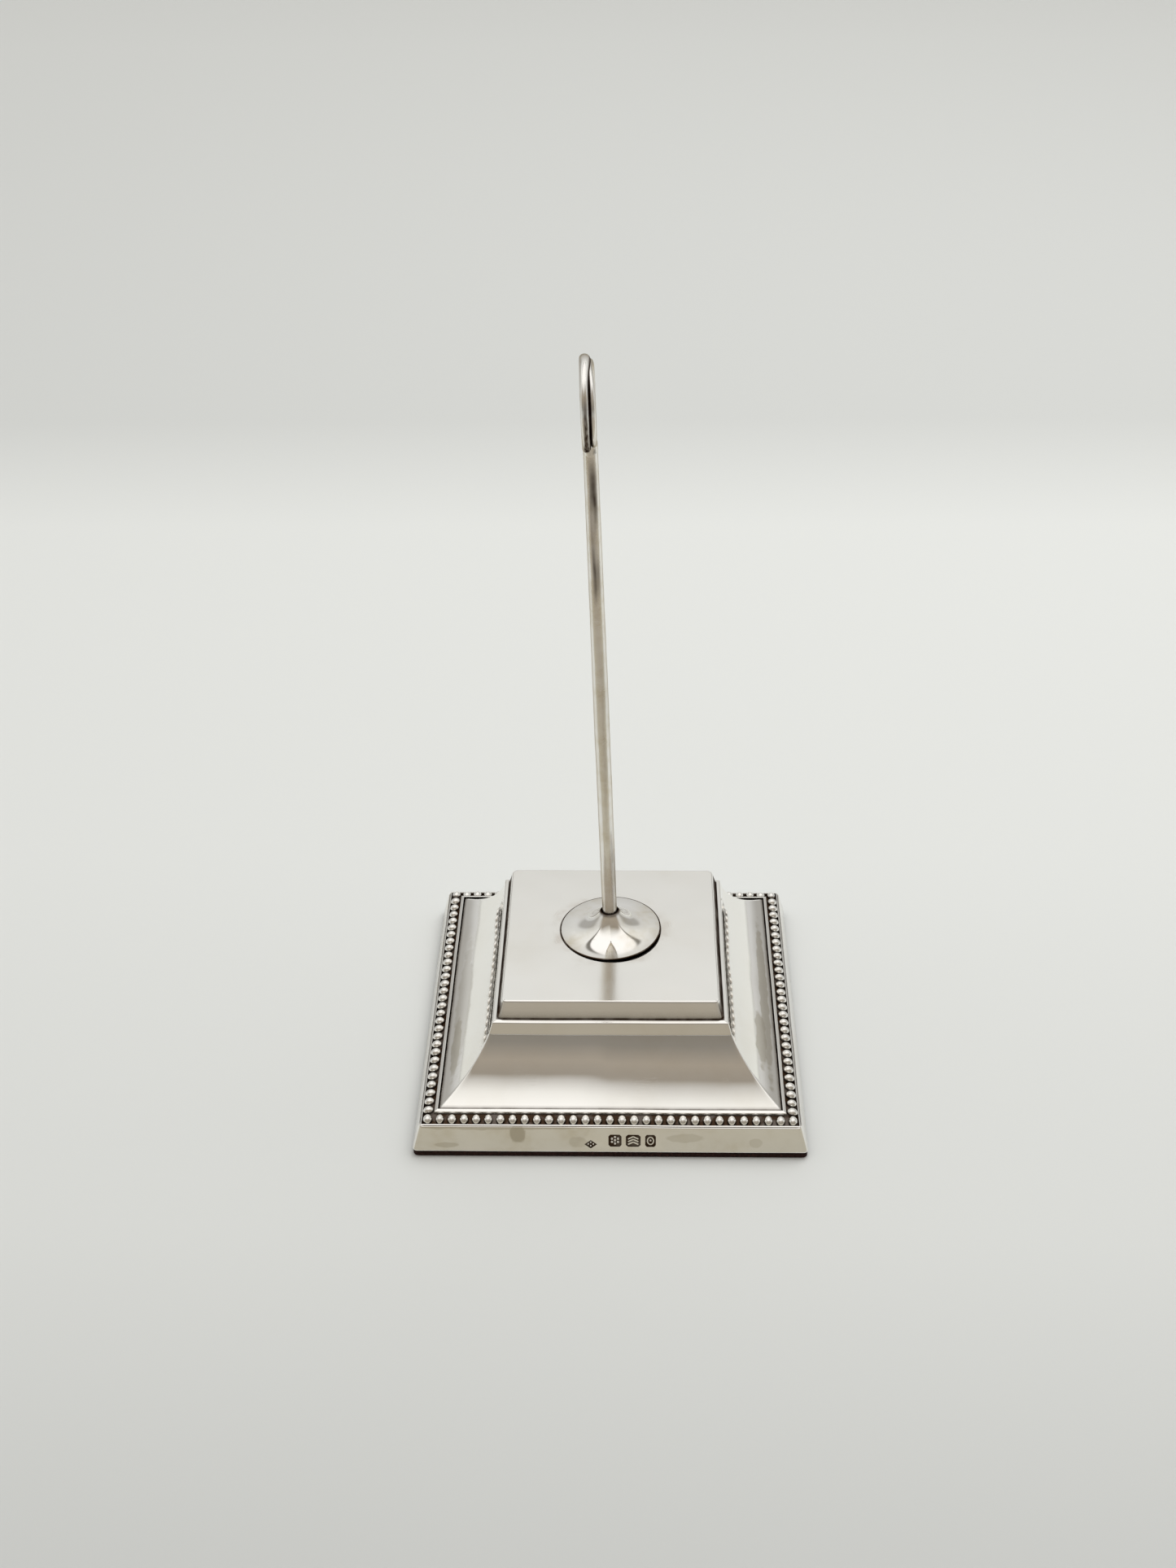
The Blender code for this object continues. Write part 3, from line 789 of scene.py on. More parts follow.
def finish_mesh(name, mesh_data, material, place=None, uneven=False):
    """Turn mesh data into a placed, smooth-shaded piece."""
    if place is not None:
        bmesh.ops.transform(mesh_data, matrix=place, verts=mesh_data.verts)
    if uneven:
        for vertex in mesh_data.verts:
            vertex.co = by_hand(vertex.co)
    mesh = bpy.data.meshes.new(name)
    mesh_data.to_mesh(mesh)
    mesh_data.free()
    mesh.shade_smooth()
    mesh.set_sharp_from_angle(angle=math.radians(40))
    mesh.materials.append(material)
    piece = bpy.data.objects.new(name, mesh)
    bpy.context.scene.collection.objects.link(piece)
    return piece


# %% Pieces
def square_piece(name, outline, material, corner, closed=True):
    rings = [square_ring(half, height, corner) for half, height, grime_and_shade in outline]
    grime_and_shade_values = [grime_and_shade for half, height, grime_and_shade in outline]
    return skin(name, rings, grime_and_shade_values, material, closed, uneven=True)


def settle(piece, body, material_slot, *nodes):
    """Say what a piece moves with and which nodes it stands for. The finish's name, material_slot, is not
    used.
    """
    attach(piece, body)
    if nodes:
        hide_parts(*nodes)
    print(piece.name, "rides on", body, "with", len(piece.data.polygons), "faces")


def as_plain_mesh(host):
    """The mesh that an object's modifiers make, as a plain mesh."""
    graph = bpy.context.evaluated_depsgraph_get()
    return bpy.data.meshes.new_from_object(host.evaluated_get(graph), depsgraph=graph)


# %% [markdown]
# ## The felt and the foot
#
# The foot is a band of sheet silver that slopes in towards its top, about 1 mm thick. Its
# edges are bright lines, because polishing wears an edge first. Below it the felt is a plain
# pad with slightly soft edges.

# %% Felt pad and foot rim
felt_top = felt_high.z + 0.2 * MM
felt_outline = soften((
    (FELT_HALF - 1.0 * MM, felt_low.z, 0, 0),
    (FELT_HALF, felt_low.z, 0.3 * MM, 0),
    (FELT_HALF, felt_top, 0.2 * MM, 0),
    (FELT_HALF - 1.0 * MM, felt_top, 0, 0),
), closed=False)
felt_rings = [square_ring(half, height, 0.8 * MM) for half, height, grime_and_shade in felt_outline]
felt = skin("felt_cushion", felt_rings, [0] * len(felt_rings), FELT, False)
settle(felt, "base", "maroon_felt", "felt_pad")

BORDER_OUTER = FOOT_HALF - 1.5 * MM
BORDER_INNER = COVE_HALF + 0.30 * MM
BORDER_SLOPE = 0.366


def border_height(half):
    """Height of the border's sloping face at a distance from the middle."""
    return FOOT_TOP + 0.10 * MM + (BORDER_OUTER - half) * BORDER_SLOPE


foot_outline = soften((
    (FOOT_HALF - 0.9 * MM, SILVER_BOTTOM, 0, 1),
    (FOOT_HALF, SILVER_BOTTOM, 0.45 * MM, 0.1),
    (FOOT_TOP_HALF, FOOT_TOP, 0.22 * MM, 0),
    (BORDER_OUTER + 0.06 * MM, FOOT_TOP + 0.05 * MM, 0.05 * MM, 0.5),
    (BORDER_OUTER + 0.04 * MM, FOOT_TOP - 0.9 * MM, 0, 1),
    (BORDER_INNER, FOOT_TOP - 0.1 * MM, 0, 1),
    (BORDER_INNER - 2.4 * MM, FOOT_TOP - 0.1 * MM, 0, 1),
    (BORDER_INNER - 2.4 * MM, FOOT_TOP - 0.8 * MM, 0, 1),
    (BORDER_INNER, FOOT_TOP - 0.9 * MM, 0, 1),
    (FOOT_TOP_HALF - 1.0 * MM, FOOT_TOP - 1.8 * MM, 0, 1),
))
foot = square_piece("foot_band", foot_outline, BAND, 0.85 * MM)


# %% [markdown]
# ## Punched marks
#
# The front band of such a piece carries four small punches: a struck recess with a raised
# device inside. These are plain ornaments that stand for no maker: a lozenge of dots, a
# rosette, a pair of chevrons and a ring. The recesses are really cut into the band, and the
# devices are small solids that stand in them. Each mark is drawn on the band's own plane, with
# X along the band, Y up its slope and Z out of it.

# %% Shapes of the punches
band_lean = math.atan2(FOOT_HALF - FOOT_TOP_HALF, FOOT_HEIGHT)
band_middle = Vector((0, -(FOOT_HALF + FOOT_TOP_HALF) / 2, SILVER_BOTTOM + FOOT_HEIGHT / 2))
band_plane = Matrix.Translation(band_middle) @ Matrix.Rotation(math.radians(90) - band_lean, 4, "X")
PUNCH_DEPTH = 0.16
SQUARE_PUNCH = ((-1, -0.7), (-0.7, -1), (0.7, -1), (1, -0.7), (1, 0.7), (0.7, 1), (-0.7, 1), (-1, 0.7))
LOZENGE_PUNCH = ((0, -1), (1, 0), (0, 1), (-1, 0))
# Place along the band, place up the slope, half width, half height, outline.
PUNCHES = (
    (-3.15, -0.75, 1.05, 0.78, LOZENGE_PUNCH),
    (0.85, -0.05, 1.08, 1.12, SQUARE_PUNCH),
    (3.85, -0.05, 1.22, 1.12, SQUARE_PUNCH),
    (6.70, -0.05, 0.88, 1.12, SQUARE_PUNCH),
)


def add_prism(mesh_data, outline, low, high):
    """An upright prism over an outline, in millimetres, appended to mesh data."""
    floor_row = [mesh_data.verts.new((x, y, low)) for x, y in outline]
    top_row = [mesh_data.verts.new((x, y, high)) for x, y in outline]
    mesh_data.faces.new(floor_row[::-1])
    mesh_data.faces.new(top_row)
    for index in range(len(outline)):
        after = (index + 1) % len(outline)
        mesh_data.faces.new((floor_row[index], floor_row[after], top_row[after], top_row[index]))


def add_dot(mesh_data, x, y, radius):
    place = Matrix.Translation((x, y, -PUNCH_DEPTH)) @ Matrix.Diagonal((1, 1, 0.16 / radius, 1))
    bmesh.ops.create_uvsphere(mesh_data, u_segments=14, v_segments=8, radius=radius, matrix=place)


def add_bar(mesh_data, start, end, width):
    """A straight raised bar between two points of the mark."""
    along = (Vector(end) - Vector(start)).normalized()
    across = Vector((-along.y, along.x)) * width / 2
    corners = [Vector(start) - across, Vector(end) - across, Vector(end) + across, Vector(start) + across]
    add_prism(mesh_data, [tuple(corner) for corner in corners], -PUNCH_DEPTH - 0.02, -0.02)


# %% Cut the recesses
cutter_data = bmesh.new()
grime_layer = cutter_data.verts.layers.float.new("grime_and_shade")
for middle_x, middle_y, half_x, half_y, outline in PUNCHES:
    shape = [(middle_x + x * half_x, middle_y + y * half_y) for x, y in outline]
    add_prism(cutter_data, shape, -PUNCH_DEPTH, 0.4)
for vertex in cutter_data.verts:
    vertex[grime_layer] = 1.0
to_band = band_plane @ Matrix.Scale(MM, 4)
cutter = finish_mesh("punch_cutter", cutter_data, BAND, to_band)
carving = foot.modifiers.new("punches", "BOOLEAN")
carving.operation = "DIFFERENCE"
carving.object = cutter
carved = as_plain_mesh(foot)
foot.modifiers.remove(carving)
foot.data = carved
bpy.data.objects.remove(cutter)
foot.data.set_sharp_from_angle(angle=math.radians(40))
settle(foot, "base", "polished_silver", "foot_rim")

# %% Raised devices in the punches
device_data = bmesh.new()
lozenge, rosette, chevrons, ring_mark = PUNCHES
for x, y in ((0.42, 0), (-0.42, 0), (0, 0.32), (0, -0.32)):
    add_dot(device_data, lozenge[0] + x, lozenge[1] + y, 0.17)
add_dot(device_data, rosette[0], rosette[1], 0.24)
for petal in range(6):
    angle = math.radians(60 * petal + 30)
    add_dot(device_data, rosette[0] + 0.58 * math.cos(angle), rosette[1] + 0.60 * math.sin(angle), 0.23)
for lift in (-0.55, -0.05, 0.45):
    tip = (chevrons[0], chevrons[1] + lift + 0.30)
    for side in (-1, 1):
        add_bar(device_data, (chevrons[0] + side * 0.85, chevrons[1] + lift - 0.12), tip, 0.24)
RING_SIDES = 24
for step in range(RING_SIDES):
    ends = []
    for corner in (step, step + 1.2):
        angle = 2 * math.pi * corner / RING_SIDES
        ends.append((ring_mark[0] + 0.50 * math.cos(angle), ring_mark[1] + 0.66 * math.sin(angle)))
    add_bar(device_data, ends[0], ends[1], 0.20)
add_dot(device_data, ring_mark[0], ring_mark[1], 0.2)
bmesh.ops.recalc_face_normals(device_data, faces=device_data.faces)
devices = finish_mesh("punch_devices", device_data, BEADED, to_band)
settle(devices, "base", "polished_silver")


# %% [markdown]
# ## The bead border
#
# The border is a strip rolled through patterned dies, then cut to four lengths and mitred at
# the corners. It has a plain fillet along each edge and a row of beads in a channel between,
# and the channel is left dark so that the beads stand out. The strip is one outline pushed
# along a side.

# %% Border strips
CHANNEL_DEPTH = 0.42 * MM
STRIP_STEPS = 24
strip_outline = soften((
    (BORDER_OUTER, -0.8 * MM, 0, 1),
    (BORDER_OUTER, 0.0, 0.07 * MM, 0),
    (BORDER_OUTER - 0.22 * MM, 0.02 * MM, 0.06 * MM, 0),
    (BORDER_OUTER - 0.30 * MM, -CHANNEL_DEPTH, 0, 1),
    (BORDER_INNER + 0.62 * MM, -CHANNEL_DEPTH, 0, 1),
    (BORDER_INNER + 0.52 * MM, 0.06 * MM, 0.06 * MM, 0),
    (BORDER_INNER, 0.06 * MM, 0.08 * MM, 0),
    (BORDER_INNER, -0.8 * MM, 0, 1),
))
SIDES = ("front", "right", "back", "left")
for quarter, side in enumerate(SIDES):
    sections = []
    for step in range(STRIP_STEPS + 1):
        along = 2 * step / STRIP_STEPS - 1
        section = []
        for half, lift, grime_and_shade in strip_outline:
            section.append((along * half, -half, border_height(half) + lift))
        sections.append(section)
    grime_and_shade_values = [[grime_and_shade for half, lift, grime_and_shade in strip_outline]] * len(sections)
    turn = Matrix.Rotation(math.radians(90 * quarter), 4, "Z")
    strip = skin("border_strip_" + side, sections, grime_and_shade_values, BEADED, False, turn, uneven=True)
    settle(strip, "base", "oxidised_silver", "bead_strip_" + side)


# %% [markdown]
# ## The beads
#
# A row of equal beads is a job for Geometry Nodes: a line of points, and one bead placed on
# each. The tree has named inputs for the number, the spacing and the three sizes of a bead,
# and a fixed seed for the small differences between them. It also writes the darkening
# attribute, dark at a bead's foot and clean on its crown: oxide in the channel and painted
# shade where the bead meets it. The tree ends in Realize Instances and Set Material, and its
# result is kept as a plain mesh.

# %% Bead row tree
def build_bead_tree():
    tree = bpy.data.node_groups.new("bead_row", "GeometryNodeTree")
    tree.interface.new_socket("Geometry", in_out="OUTPUT", socket_type="NodeSocketGeometry")
    sockets = (
        ("Beads", "NodeSocketInt"), ("Spacing", "NodeSocketFloat"), ("Length", "NodeSocketFloat"),
        ("Width", "NodeSocketFloat"), ("Height", "NodeSocketFloat"), ("Unevenness", "NodeSocketFloat"),
        ("Seed", "NodeSocketInt"), ("Finish", "NodeSocketMaterial"),
    )
    names = {}
    for label, kind in sockets:
        names[label] = tree.interface.new_socket(label, in_out="INPUT", socket_type=kind).identifier
    given = tree.nodes.new("NodeGroupInput").outputs
    result = tree.nodes.new("NodeGroupOutput")

    less_one = math_node(tree, "SUBTRACT", given["Beads"], 1.0)
    run = math_node(tree, "MULTIPLY", less_one, given["Spacing"])
    start = add_node(tree, "ShaderNodeCombineXYZ", X=math_node(tree, "MULTIPLY", run, -0.5))
    stride = add_node(tree, "ShaderNodeCombineXYZ", X=given["Spacing"])
    line = add_node(tree, "GeometryNodeMeshLine", Count=given["Beads"])
    tree.links.new(start.outputs[0], line.inputs["Start Location"])
    tree.links.new(stride.outputs[0], line.inputs["Offset"])

    ball = add_node(tree, "GeometryNodeMeshUVSphere", Segments=22, Rings=14, Radius=1.0)
    size = add_node(tree, "ShaderNodeCombineXYZ")
    for axis, label in zip("XYZ", ("Length", "Width", "Height")):
        tree.links.new(math_node(tree, "MULTIPLY", given[label], 0.5), size.inputs[axis])
    bead = add_node(tree, "GeometryNodeTransform", Geometry=ball.outputs["Mesh"], Scale=size.outputs[0])

    low = math_node(tree, "SUBTRACT", 1.0, given["Unevenness"])
    high = math_node(tree, "ADD", 1.0, given["Unevenness"])
    vary = add_node(tree, "FunctionNodeRandomValue", {"data_type": "FLOAT_VECTOR"})
    tree.links.new(low, vary.inputs[0])
    tree.links.new(high, vary.inputs[1])
    tree.links.new(given["Seed"], vary.inputs["Seed"])
    place = add_node(tree, "GeometryNodeInstanceOnPoints", Points=line.outputs["Mesh"])
    tree.links.new(bead.outputs["Geometry"], place.inputs["Instance"])
    tree.links.new(vary.outputs[0], place.inputs["Scale"])
    real = add_node(tree, "GeometryNodeRealizeInstances", Geometry=place.outputs["Instances"])

    position = tree.nodes.new("GeometryNodeInputPosition").outputs[0]
    spot = add_node(tree, "ShaderNodeSeparateXYZ", Vector=position)
    level = math_node(tree, "DIVIDE", spot.outputs["Z"], given["Height"])
    # Oxide and painted shade: dark at the bead's foot, clean on its crown.
    dirt_and_shade = smooth_range(tree, level, 0.06, 0.20, 1.0, 0.0)
    store = add_node(tree, "GeometryNodeStoreNamedAttribute", {"data_type": "FLOAT"})
    tree.links.new(real.outputs["Geometry"], store.inputs["Geometry"])
    store.inputs["Name"].default_value = "grime_and_shade"
    tree.links.new(dirt_and_shade, store.inputs["Value"])
    smooth = add_node(tree, "GeometryNodeSetShadeSmooth", Geometry=store.outputs["Geometry"])
    finish = add_node(tree, "GeometryNodeSetMaterial", Geometry=smooth.outputs["Geometry"])
    tree.links.new(given["Finish"], finish.inputs["Material"])
    tree.links.new(finish.outputs["Geometry"], result.inputs["Geometry"])
    return tree, names


BEAD_TREE, BEAD_INPUTS = build_bead_tree()
print("the bead tree's inputs:", ", ".join(BEAD_INPUTS))


# %% Run a tree once
def run_tree(name, tree, names, values, place):
    """Run a Geometry Nodes tree once and keep its result as a plain mesh."""
    host = bpy.data.objects.new(name + "_host", bpy.data.meshes.new(name + "_host"))
    bpy.context.scene.collection.objects.link(host)
    modifier = host.modifiers.new("grow", "NODES")
    modifier.node_group = tree
    for label, value in values.items():
        modifier[names[label]] = value
    mesh = as_plain_mesh(host)
    host.modifiers.remove(modifier)
    bpy.data.objects.remove(host)
    mesh.name = name
    mesh.transform(place)
    piece = bpy.data.objects.new(name, mesh)
    bpy.context.scene.collection.objects.link(piece)
    return piece


# %% Four bead rows
BEADS_PER_SIDE = 31
BEAD_HALF = BORDER_OUTER - 1.23 * MM
BEAD_SPACING = 2 * BEAD_HALF / (BEADS_PER_SIDE - 1)
bead_floor = border_height(BEAD_HALF) - CHANNEL_DEPTH
bead_tilt = Matrix.Rotation(math.atan(BORDER_SLOPE), 4, "X")
for quarter, side in enumerate(SIDES):
    has_corners = quarter % 2 == 0
    values = {
        "Beads": BEADS_PER_SIDE if has_corners else BEADS_PER_SIDE - 2,
        "Spacing": BEAD_SPACING,
        "Length": 1.58 * MM,
        "Width": 1.86 * MM,
        "Height": 1.86 * MM,
        "Unevenness": 0.05,
        "Seed": quarter + 3,
        "Finish": BEADED,
    }
    turn = Matrix.Rotation(math.radians(90 * quarter), 4, "Z")
    seat = turn @ Matrix.Translation((0, -BEAD_HALF, bead_floor)) @ bead_tilt
    row = run_tree("bead_row_" + side, BEAD_TREE, BEAD_INPUTS, values, seat)
    settle(row, "base", "polished_silver")
print("beads stand", round(BEAD_SPACING / MM, 3), "mm apart")


# %% [markdown]
# ## The hollow-curved shell
#
# The shell is stamped from one sheet: a narrow worn ledge round the cap, a plain upright band,
# and a hollow curve (a cove) that sweeps out to the border. The curve is a quadratic one,
# through a start, a bend and an end. It is drawn with many rings, as a mirror would show too
# few. The colour is darkened along the bottom, against the border's inner fillet, and painted
# shade darkens the ledge where it meets the cap.

# %% Cove shell
COVE_BOTTOM = Vector((COVE_HALF + 0.08 * MM, SILVER_BOTTOM + 5.45 * MM))
COVE_BEND = Vector((22.6 * MM, SILVER_BOTTOM + 8.95 * MM))
COVE_TOP = Vector((20.18 * MM, SILVER_BOTTOM + 14.65 * MM))
COVE_STEPS = 40
LEDGE_HALF = 19.62 * MM
SHELL_INWARD = Vector((-0.75, -0.45)) * MM
DECK_HOLE = 3.0 * MM


def cove_point(t):
    """A point of the hollow curve, from the top (t = 0) to the border (t = 1)."""
    return COVE_TOP * (1 - t) ** 2 + COVE_BEND * 2 * t * (1 - t) + COVE_BOTTOM * t ** 2


cove_outline = soften((
    (DECK_HOLE, LEDGE, 0, 1),
    (CAP_HALF - 0.30 * MM, LEDGE, 0, 1),
    # Painted shade: a dark line on the ledge where it meets the cap.
    (CAP_HALF + 0.01 * MM, LEDGE - 0.01 * MM, 0, 0.8),
    (CAP_HALF + 0.08 * MM, LEDGE - 0.02 * MM, 0, 0),
    (LEDGE_HALF, LEDGE - 0.15 * MM, 0.16 * MM, 0),
    (COVE_TOP.x - 0.07 * MM, COVE_TOP.y + 0.25 * MM, 0.10 * MM, 0),
    (*COVE_TOP, 0, 0),
), closed=False)[:-1]
for step in range(COVE_STEPS + 1):
    t = step / COVE_STEPS
    # Darker towards the bottom of the curve, against the fillet.
    cove_outline.append((*cove_point(t), 0.9 * max(0.0, (t - 0.965) / 0.035)))
cove_outline.append((COVE_BOTTOM.x, COVE_BOTTOM.y - 0.5 * MM, 1.0))
for t in (1.0, 0.75, 0.5, 0.25, 0.0):
    cove_outline.append((*(cove_point(t) + SHELL_INWARD), 1.0))
cove_outline.append((LEDGE_HALF - 0.75 * MM, LEDGE - 0.9 * MM, 1.0))
cove_outline.append((DECK_HOLE, LEDGE - 0.9 * MM, 1.0))
cove = square_piece("cove_shell", cove_outline, COVE, 0.25 * MM)
settle(cove, "base", "polished_silver", "cove_body")
print("the hollow curve rises", round((COVE_TOP - COVE_BOTTOM).y / MM, 2), "mm")


# %% [markdown]
# ## The cap
#
# The raised block is a shallow box soldered on the ledge. Its sides lean in, its upright
# corners are rounded and its top edge is a narrow bright line. Painted shade darkens the joint
# and the foot of the front face, and most of all the left and right walls. The top runs in to a
# round hole for the stem: each point of the last ring is pulled straight towards the axis.

# %% Cap block
CAP_TOP_SIDE = CAP_HALF - 0.9 * MM
CAP_CORNER = 0.9 * MM
CAP_HOLE = 1.6 * MM


def round_off(ring, radius, height, centre):
    """Move the points of a ring onto a circle, each in its own direction."""
    moved = []
    for x, y, z in ring:
        away = Vector((x - centre.x, y - centre.y)).normalized() * radius
        moved.append((centre.x + away.x, centre.y + away.y, height))
    return moved


def joint_painted_shade(ring, grime_and_shade, side_shade):
    """One value for each point: the left and right walls get more painted shade than the others."""
    return [side_shade if abs(x) > abs(y) else grime_and_shade for x, y, z in ring]


# Distance from the middle, height, rounding, then painted shade in front and at the sides as a pair.
cap_wall = CAP_HALF - CAP_TOP_SIDE
cap_outline = soften((
    (CAP_HALF - 1.0 * MM, LEDGE + 0.02 * MM, 0, (1, 1)),
    (CAP_HALF, LEDGE + 0.02 * MM, 0, (1, 1)),
    (CAP_HALF - 0.06 * cap_wall, LEDGE + 0.20 * MM, 0, (0.9, 1)),
    (CAP_HALF - 0.12 * cap_wall, LEDGE + 0.42 * MM, 0, (0.45, 0.95)),
    (CAP_HALF - 0.24 * cap_wall, LEDGE + 0.80 * MM, 0, (0.20, 1)),
    (CAP_HALF - 0.50 * cap_wall, LEDGE + 1.62 * MM, 0, (0.04, 0.90)),
    (CAP_HALF - 0.80 * cap_wall, LEDGE + 2.60 * MM, 0, (0, 0.60)),
    (CAP_TOP_SIDE, CAP_TOP, 0.30 * MM, (0, 0)),
    (CAP_TOP_SIDE - 2.0 * MM, CAP_TOP, 0, (0, 0)),
), closed=False, steps=6)
cap_rings = [square_ring(half, height, CAP_CORNER) for half, height, grime_and_shade in cap_outline]
cap_shade = [joint_painted_shade(ring, *point[2]) for ring, point in zip(cap_rings, cap_outline)]
cap_rings.append(round_off(cap_rings[-1], CAP_HOLE, CAP_TOP, swivel))
cap_rings.append(round_off(cap_rings[-1], CAP_HOLE, CAP_TOP - 0.9 * MM, swivel))
cap_rings.append(square_ring(CAP_TOP_SIDE - 1.2 * MM, CAP_TOP - 0.9 * MM, CAP_CORNER))
cap_shade += [0.0, 1.0, 1.0]
cap = skin("cap_block", cap_rings, cap_shade, SATIN, True, uneven=True)
settle(cap, "base", "satin_silver", "cap_plate")


# %% [markdown]
# ## The flange
#
# The flange is turned like a trumpet's bell: nearly flat at the rim and steep at the neck. It
# sits low over the cap on its washer, and its rim is a narrow step painted dark all round:
# painted shade that draws the dark ring. The neck is painted dark where the stem goes in. It
# moves with the stem. The profile is drawn as a height for each radius.

# %% Flange
FLANGE_RADIUS = 8.75 * MM
FACE_RADIUS = 8.52 * MM
NECK_RADIUS = 1.60 * MM
flange_base = CAP_TOP + 0.25 * MM
face_edge = flange_base + 0.16 * MM
neck_top = CAP_TOP + 4.2 * MM
HOLLOW_RADIUS = 5.0 * MM


def trumpet_height(radius):
    """Height of the trumpet above the rim: slow at first, then steep at the neck."""
    t = (FACE_RADIUS - radius) / (FACE_RADIUS - NECK_RADIUS)
    return (neck_top - face_edge) * (0.13 * t + 0.87 * t ** 3)


# The rim's wall and step carry painted shade: the dark ring.
flange_outline = [
    (HOLLOW_RADIUS, flange_base, 1),
    (FLANGE_RADIUS - 0.15 * MM, flange_base, 1),
    (FLANGE_RADIUS, flange_base + 0.06 * MM, 1),
    (FLANGE_RADIUS, face_edge - 0.10 * MM, 1),
    (FLANGE_RADIUS - 0.04 * MM, face_edge - 0.06 * MM, 1),
    (FACE_RADIUS + 0.05 * MM, face_edge - 0.06 * MM, 1),
    (FACE_RADIUS + 0.02 * MM, face_edge - 0.03 * MM, 0.2),
]
FLANGE_STEPS = 56
for step in range(FLANGE_STEPS + 1):
    radius = FACE_RADIUS + (NECK_RADIUS - FACE_RADIUS) * step / FLANGE_STEPS
    # Painted shade where the stem enters the neck; the face is a little darker near the rim.
    near_neck = max(0.0, (step / FLANGE_STEPS - 0.96) / 0.04)
    near_rim = max(0.0, 1 - step / FLANGE_STEPS / 0.30)
    flange_outline.append((radius, face_edge + trumpet_height(radius), 0.9 * near_neck + 0.16 * near_rim))
flange_outline += [
    (NECK_RADIUS - 0.12 * MM, neck_top + 0.05 * MM, 1),
    (1.3 * MM, neck_top - 0.2 * MM, 1),
    (1.3 * MM, flange_base + 0.62 * MM, 1),
    (HOLLOW_RADIUS, flange_base + 0.47 * MM, 1),
]
flange_rings = [round_ring(radius, height, 128) for radius, height, grime_and_shade in flange_outline]
flange_shade = [grime_and_shade for radius, height, grime_and_shade in flange_outline]
flange = skin("flange_trumpet", flange_rings, flange_shade, MIRROR, True, stem_frame)
settle(flange, "stem", "polished_silver", "flange")


# %% [markdown]
# ## The stem
#
# The stem is drawn rod with a slow taper. Hand finishing leaves it a little wavy: each ring
# of the shaft is shifted by a few hundredths of a millimetre of noise. Dark streaks run along
# it. They come from noise that is stretched along the stem, and they are strongest just below
# the clip and just above the flange. The one just below the clip, down the middle of the
# front, is a painted dark reflection; the others are old polish. A dark band of painted shade
# rings the stem where it enters the flange's neck.

# %% Stem shaft
STEM_RADIUS = 1.25 * MM
TIP_RADIUS = 1.08 * MM
SHAFT_STEPS = 110
SHAFT_SIDES = 40
ring_centre = SILVER_BOTTOM + 117.45 * MM
shaft_foot = flange_base + 0.5 * MM
shaft_top = ring_centre - 6.6 * MM
taper_start = SILVER_BOTTOM + 60 * MM
# Middle height, half length, strength and place across the front of each streaky stretch.
# The first stretch is a painted dark reflection down the front; the other two are old polish.
STREAKY = (
    (SILVER_BOTTOM + 97 * MM, 12.5 * MM, 1.0, 0.15),
    (SILVER_BOTTOM + 34 * MM, 9 * MM, 0.50, 0.90),
    (SILVER_BOTTOM + 60 * MM, 24 * MM, 0.15, 0.45),
)


def streak_polish_and_reflection(x, y, height):
    """Dark streaks on the shaft at one point: old polish, and a painted dark reflection below the clip."""
    strength = 0.0
    for middle, reach, amount, side in STREAKY:
        lengthwise = max(0.0, 1 - ((height - middle) / reach) ** 4)
        crosswise = max(0.0, 1 - ((x / STEM_RADIUS - side) / 0.55) ** 2)
        strength = max(strength, amount * lengthwise * crosswise)
    grain = noise.noise(Vector((x * 1500, y * 1500, height * 110)))
    return strength * max(0.0, min(1.0, 0.60 + 1.6 * grain))


shaft_rings = []
shaft_streaks_and_shade = []
for step in range(SHAFT_STEPS + 1):
    height = shaft_foot + (shaft_top - shaft_foot) * step / SHAFT_STEPS
    taper = max(0.0, (height - taper_start) / (shaft_top - taper_start))
    radius = STEM_RADIUS + (TIP_RADIUS - STEM_RADIUS) * taper
    sway_x = noise.noise(Vector((height * 90, 3.1, 0))) * 0.03 * MM
    sway_y = noise.noise(Vector((height * 90, 8.4, 0))) * 0.03 * MM
    swell = 1 + 0.02 * noise.noise(Vector((height * 240, 1.7, 0)))
    # Painted shade: a dark band where the stem enters the flange's neck.
    neck_gap_shade = 0.9 * max(0.0, 1 - abs(height - neck_top) / (0.35 * MM))
    ring = [(x + sway_x, y + sway_y, z) for x, y, z in round_ring(radius * swell, height, SHAFT_SIDES)]
    shaft_rings.append(ring)
    shaft_streaks_and_shade.append([max(neck_gap_shade, streak_polish_and_reflection(x, y, z)) for x, y, z in ring])
shaft = skin("stem_shaft", shaft_rings, shaft_streaks_and_shade, WIRE, False, stem_frame)
settle(shaft, "stem", "polished_silver", "stem_rod")


# %% [markdown]
# ## The ring clip
#
# The clip is one piece of wire wound twice round a rod, then soldered to the stem at its
# bottom. A card slides in between the two turns. The first turn is fixed, and the second
# springs away, so it is a separate piece that moves on its own joint. The turns draw together
# at the top, where the wire is hammered a little flat. The faces that look at each other are
# dark: tarnish that polish never reaches, and painted shade between the turns. A dark streak
# down the lower front of the outer turn is a painted reflection.

# %% Wire turns
OUTER_TURN = {"radius": 6.42, "wire": 0.62, "offset": -0.52, "spread": 0.34, "opening": 0.0}
FREE_TURN = {"radius": 5.86, "wire": 0.48, "offset": 0.56, "spread": 0.0, "opening": 14.0}
TURN_STEPS = 110
WIRE_SIDES = 28


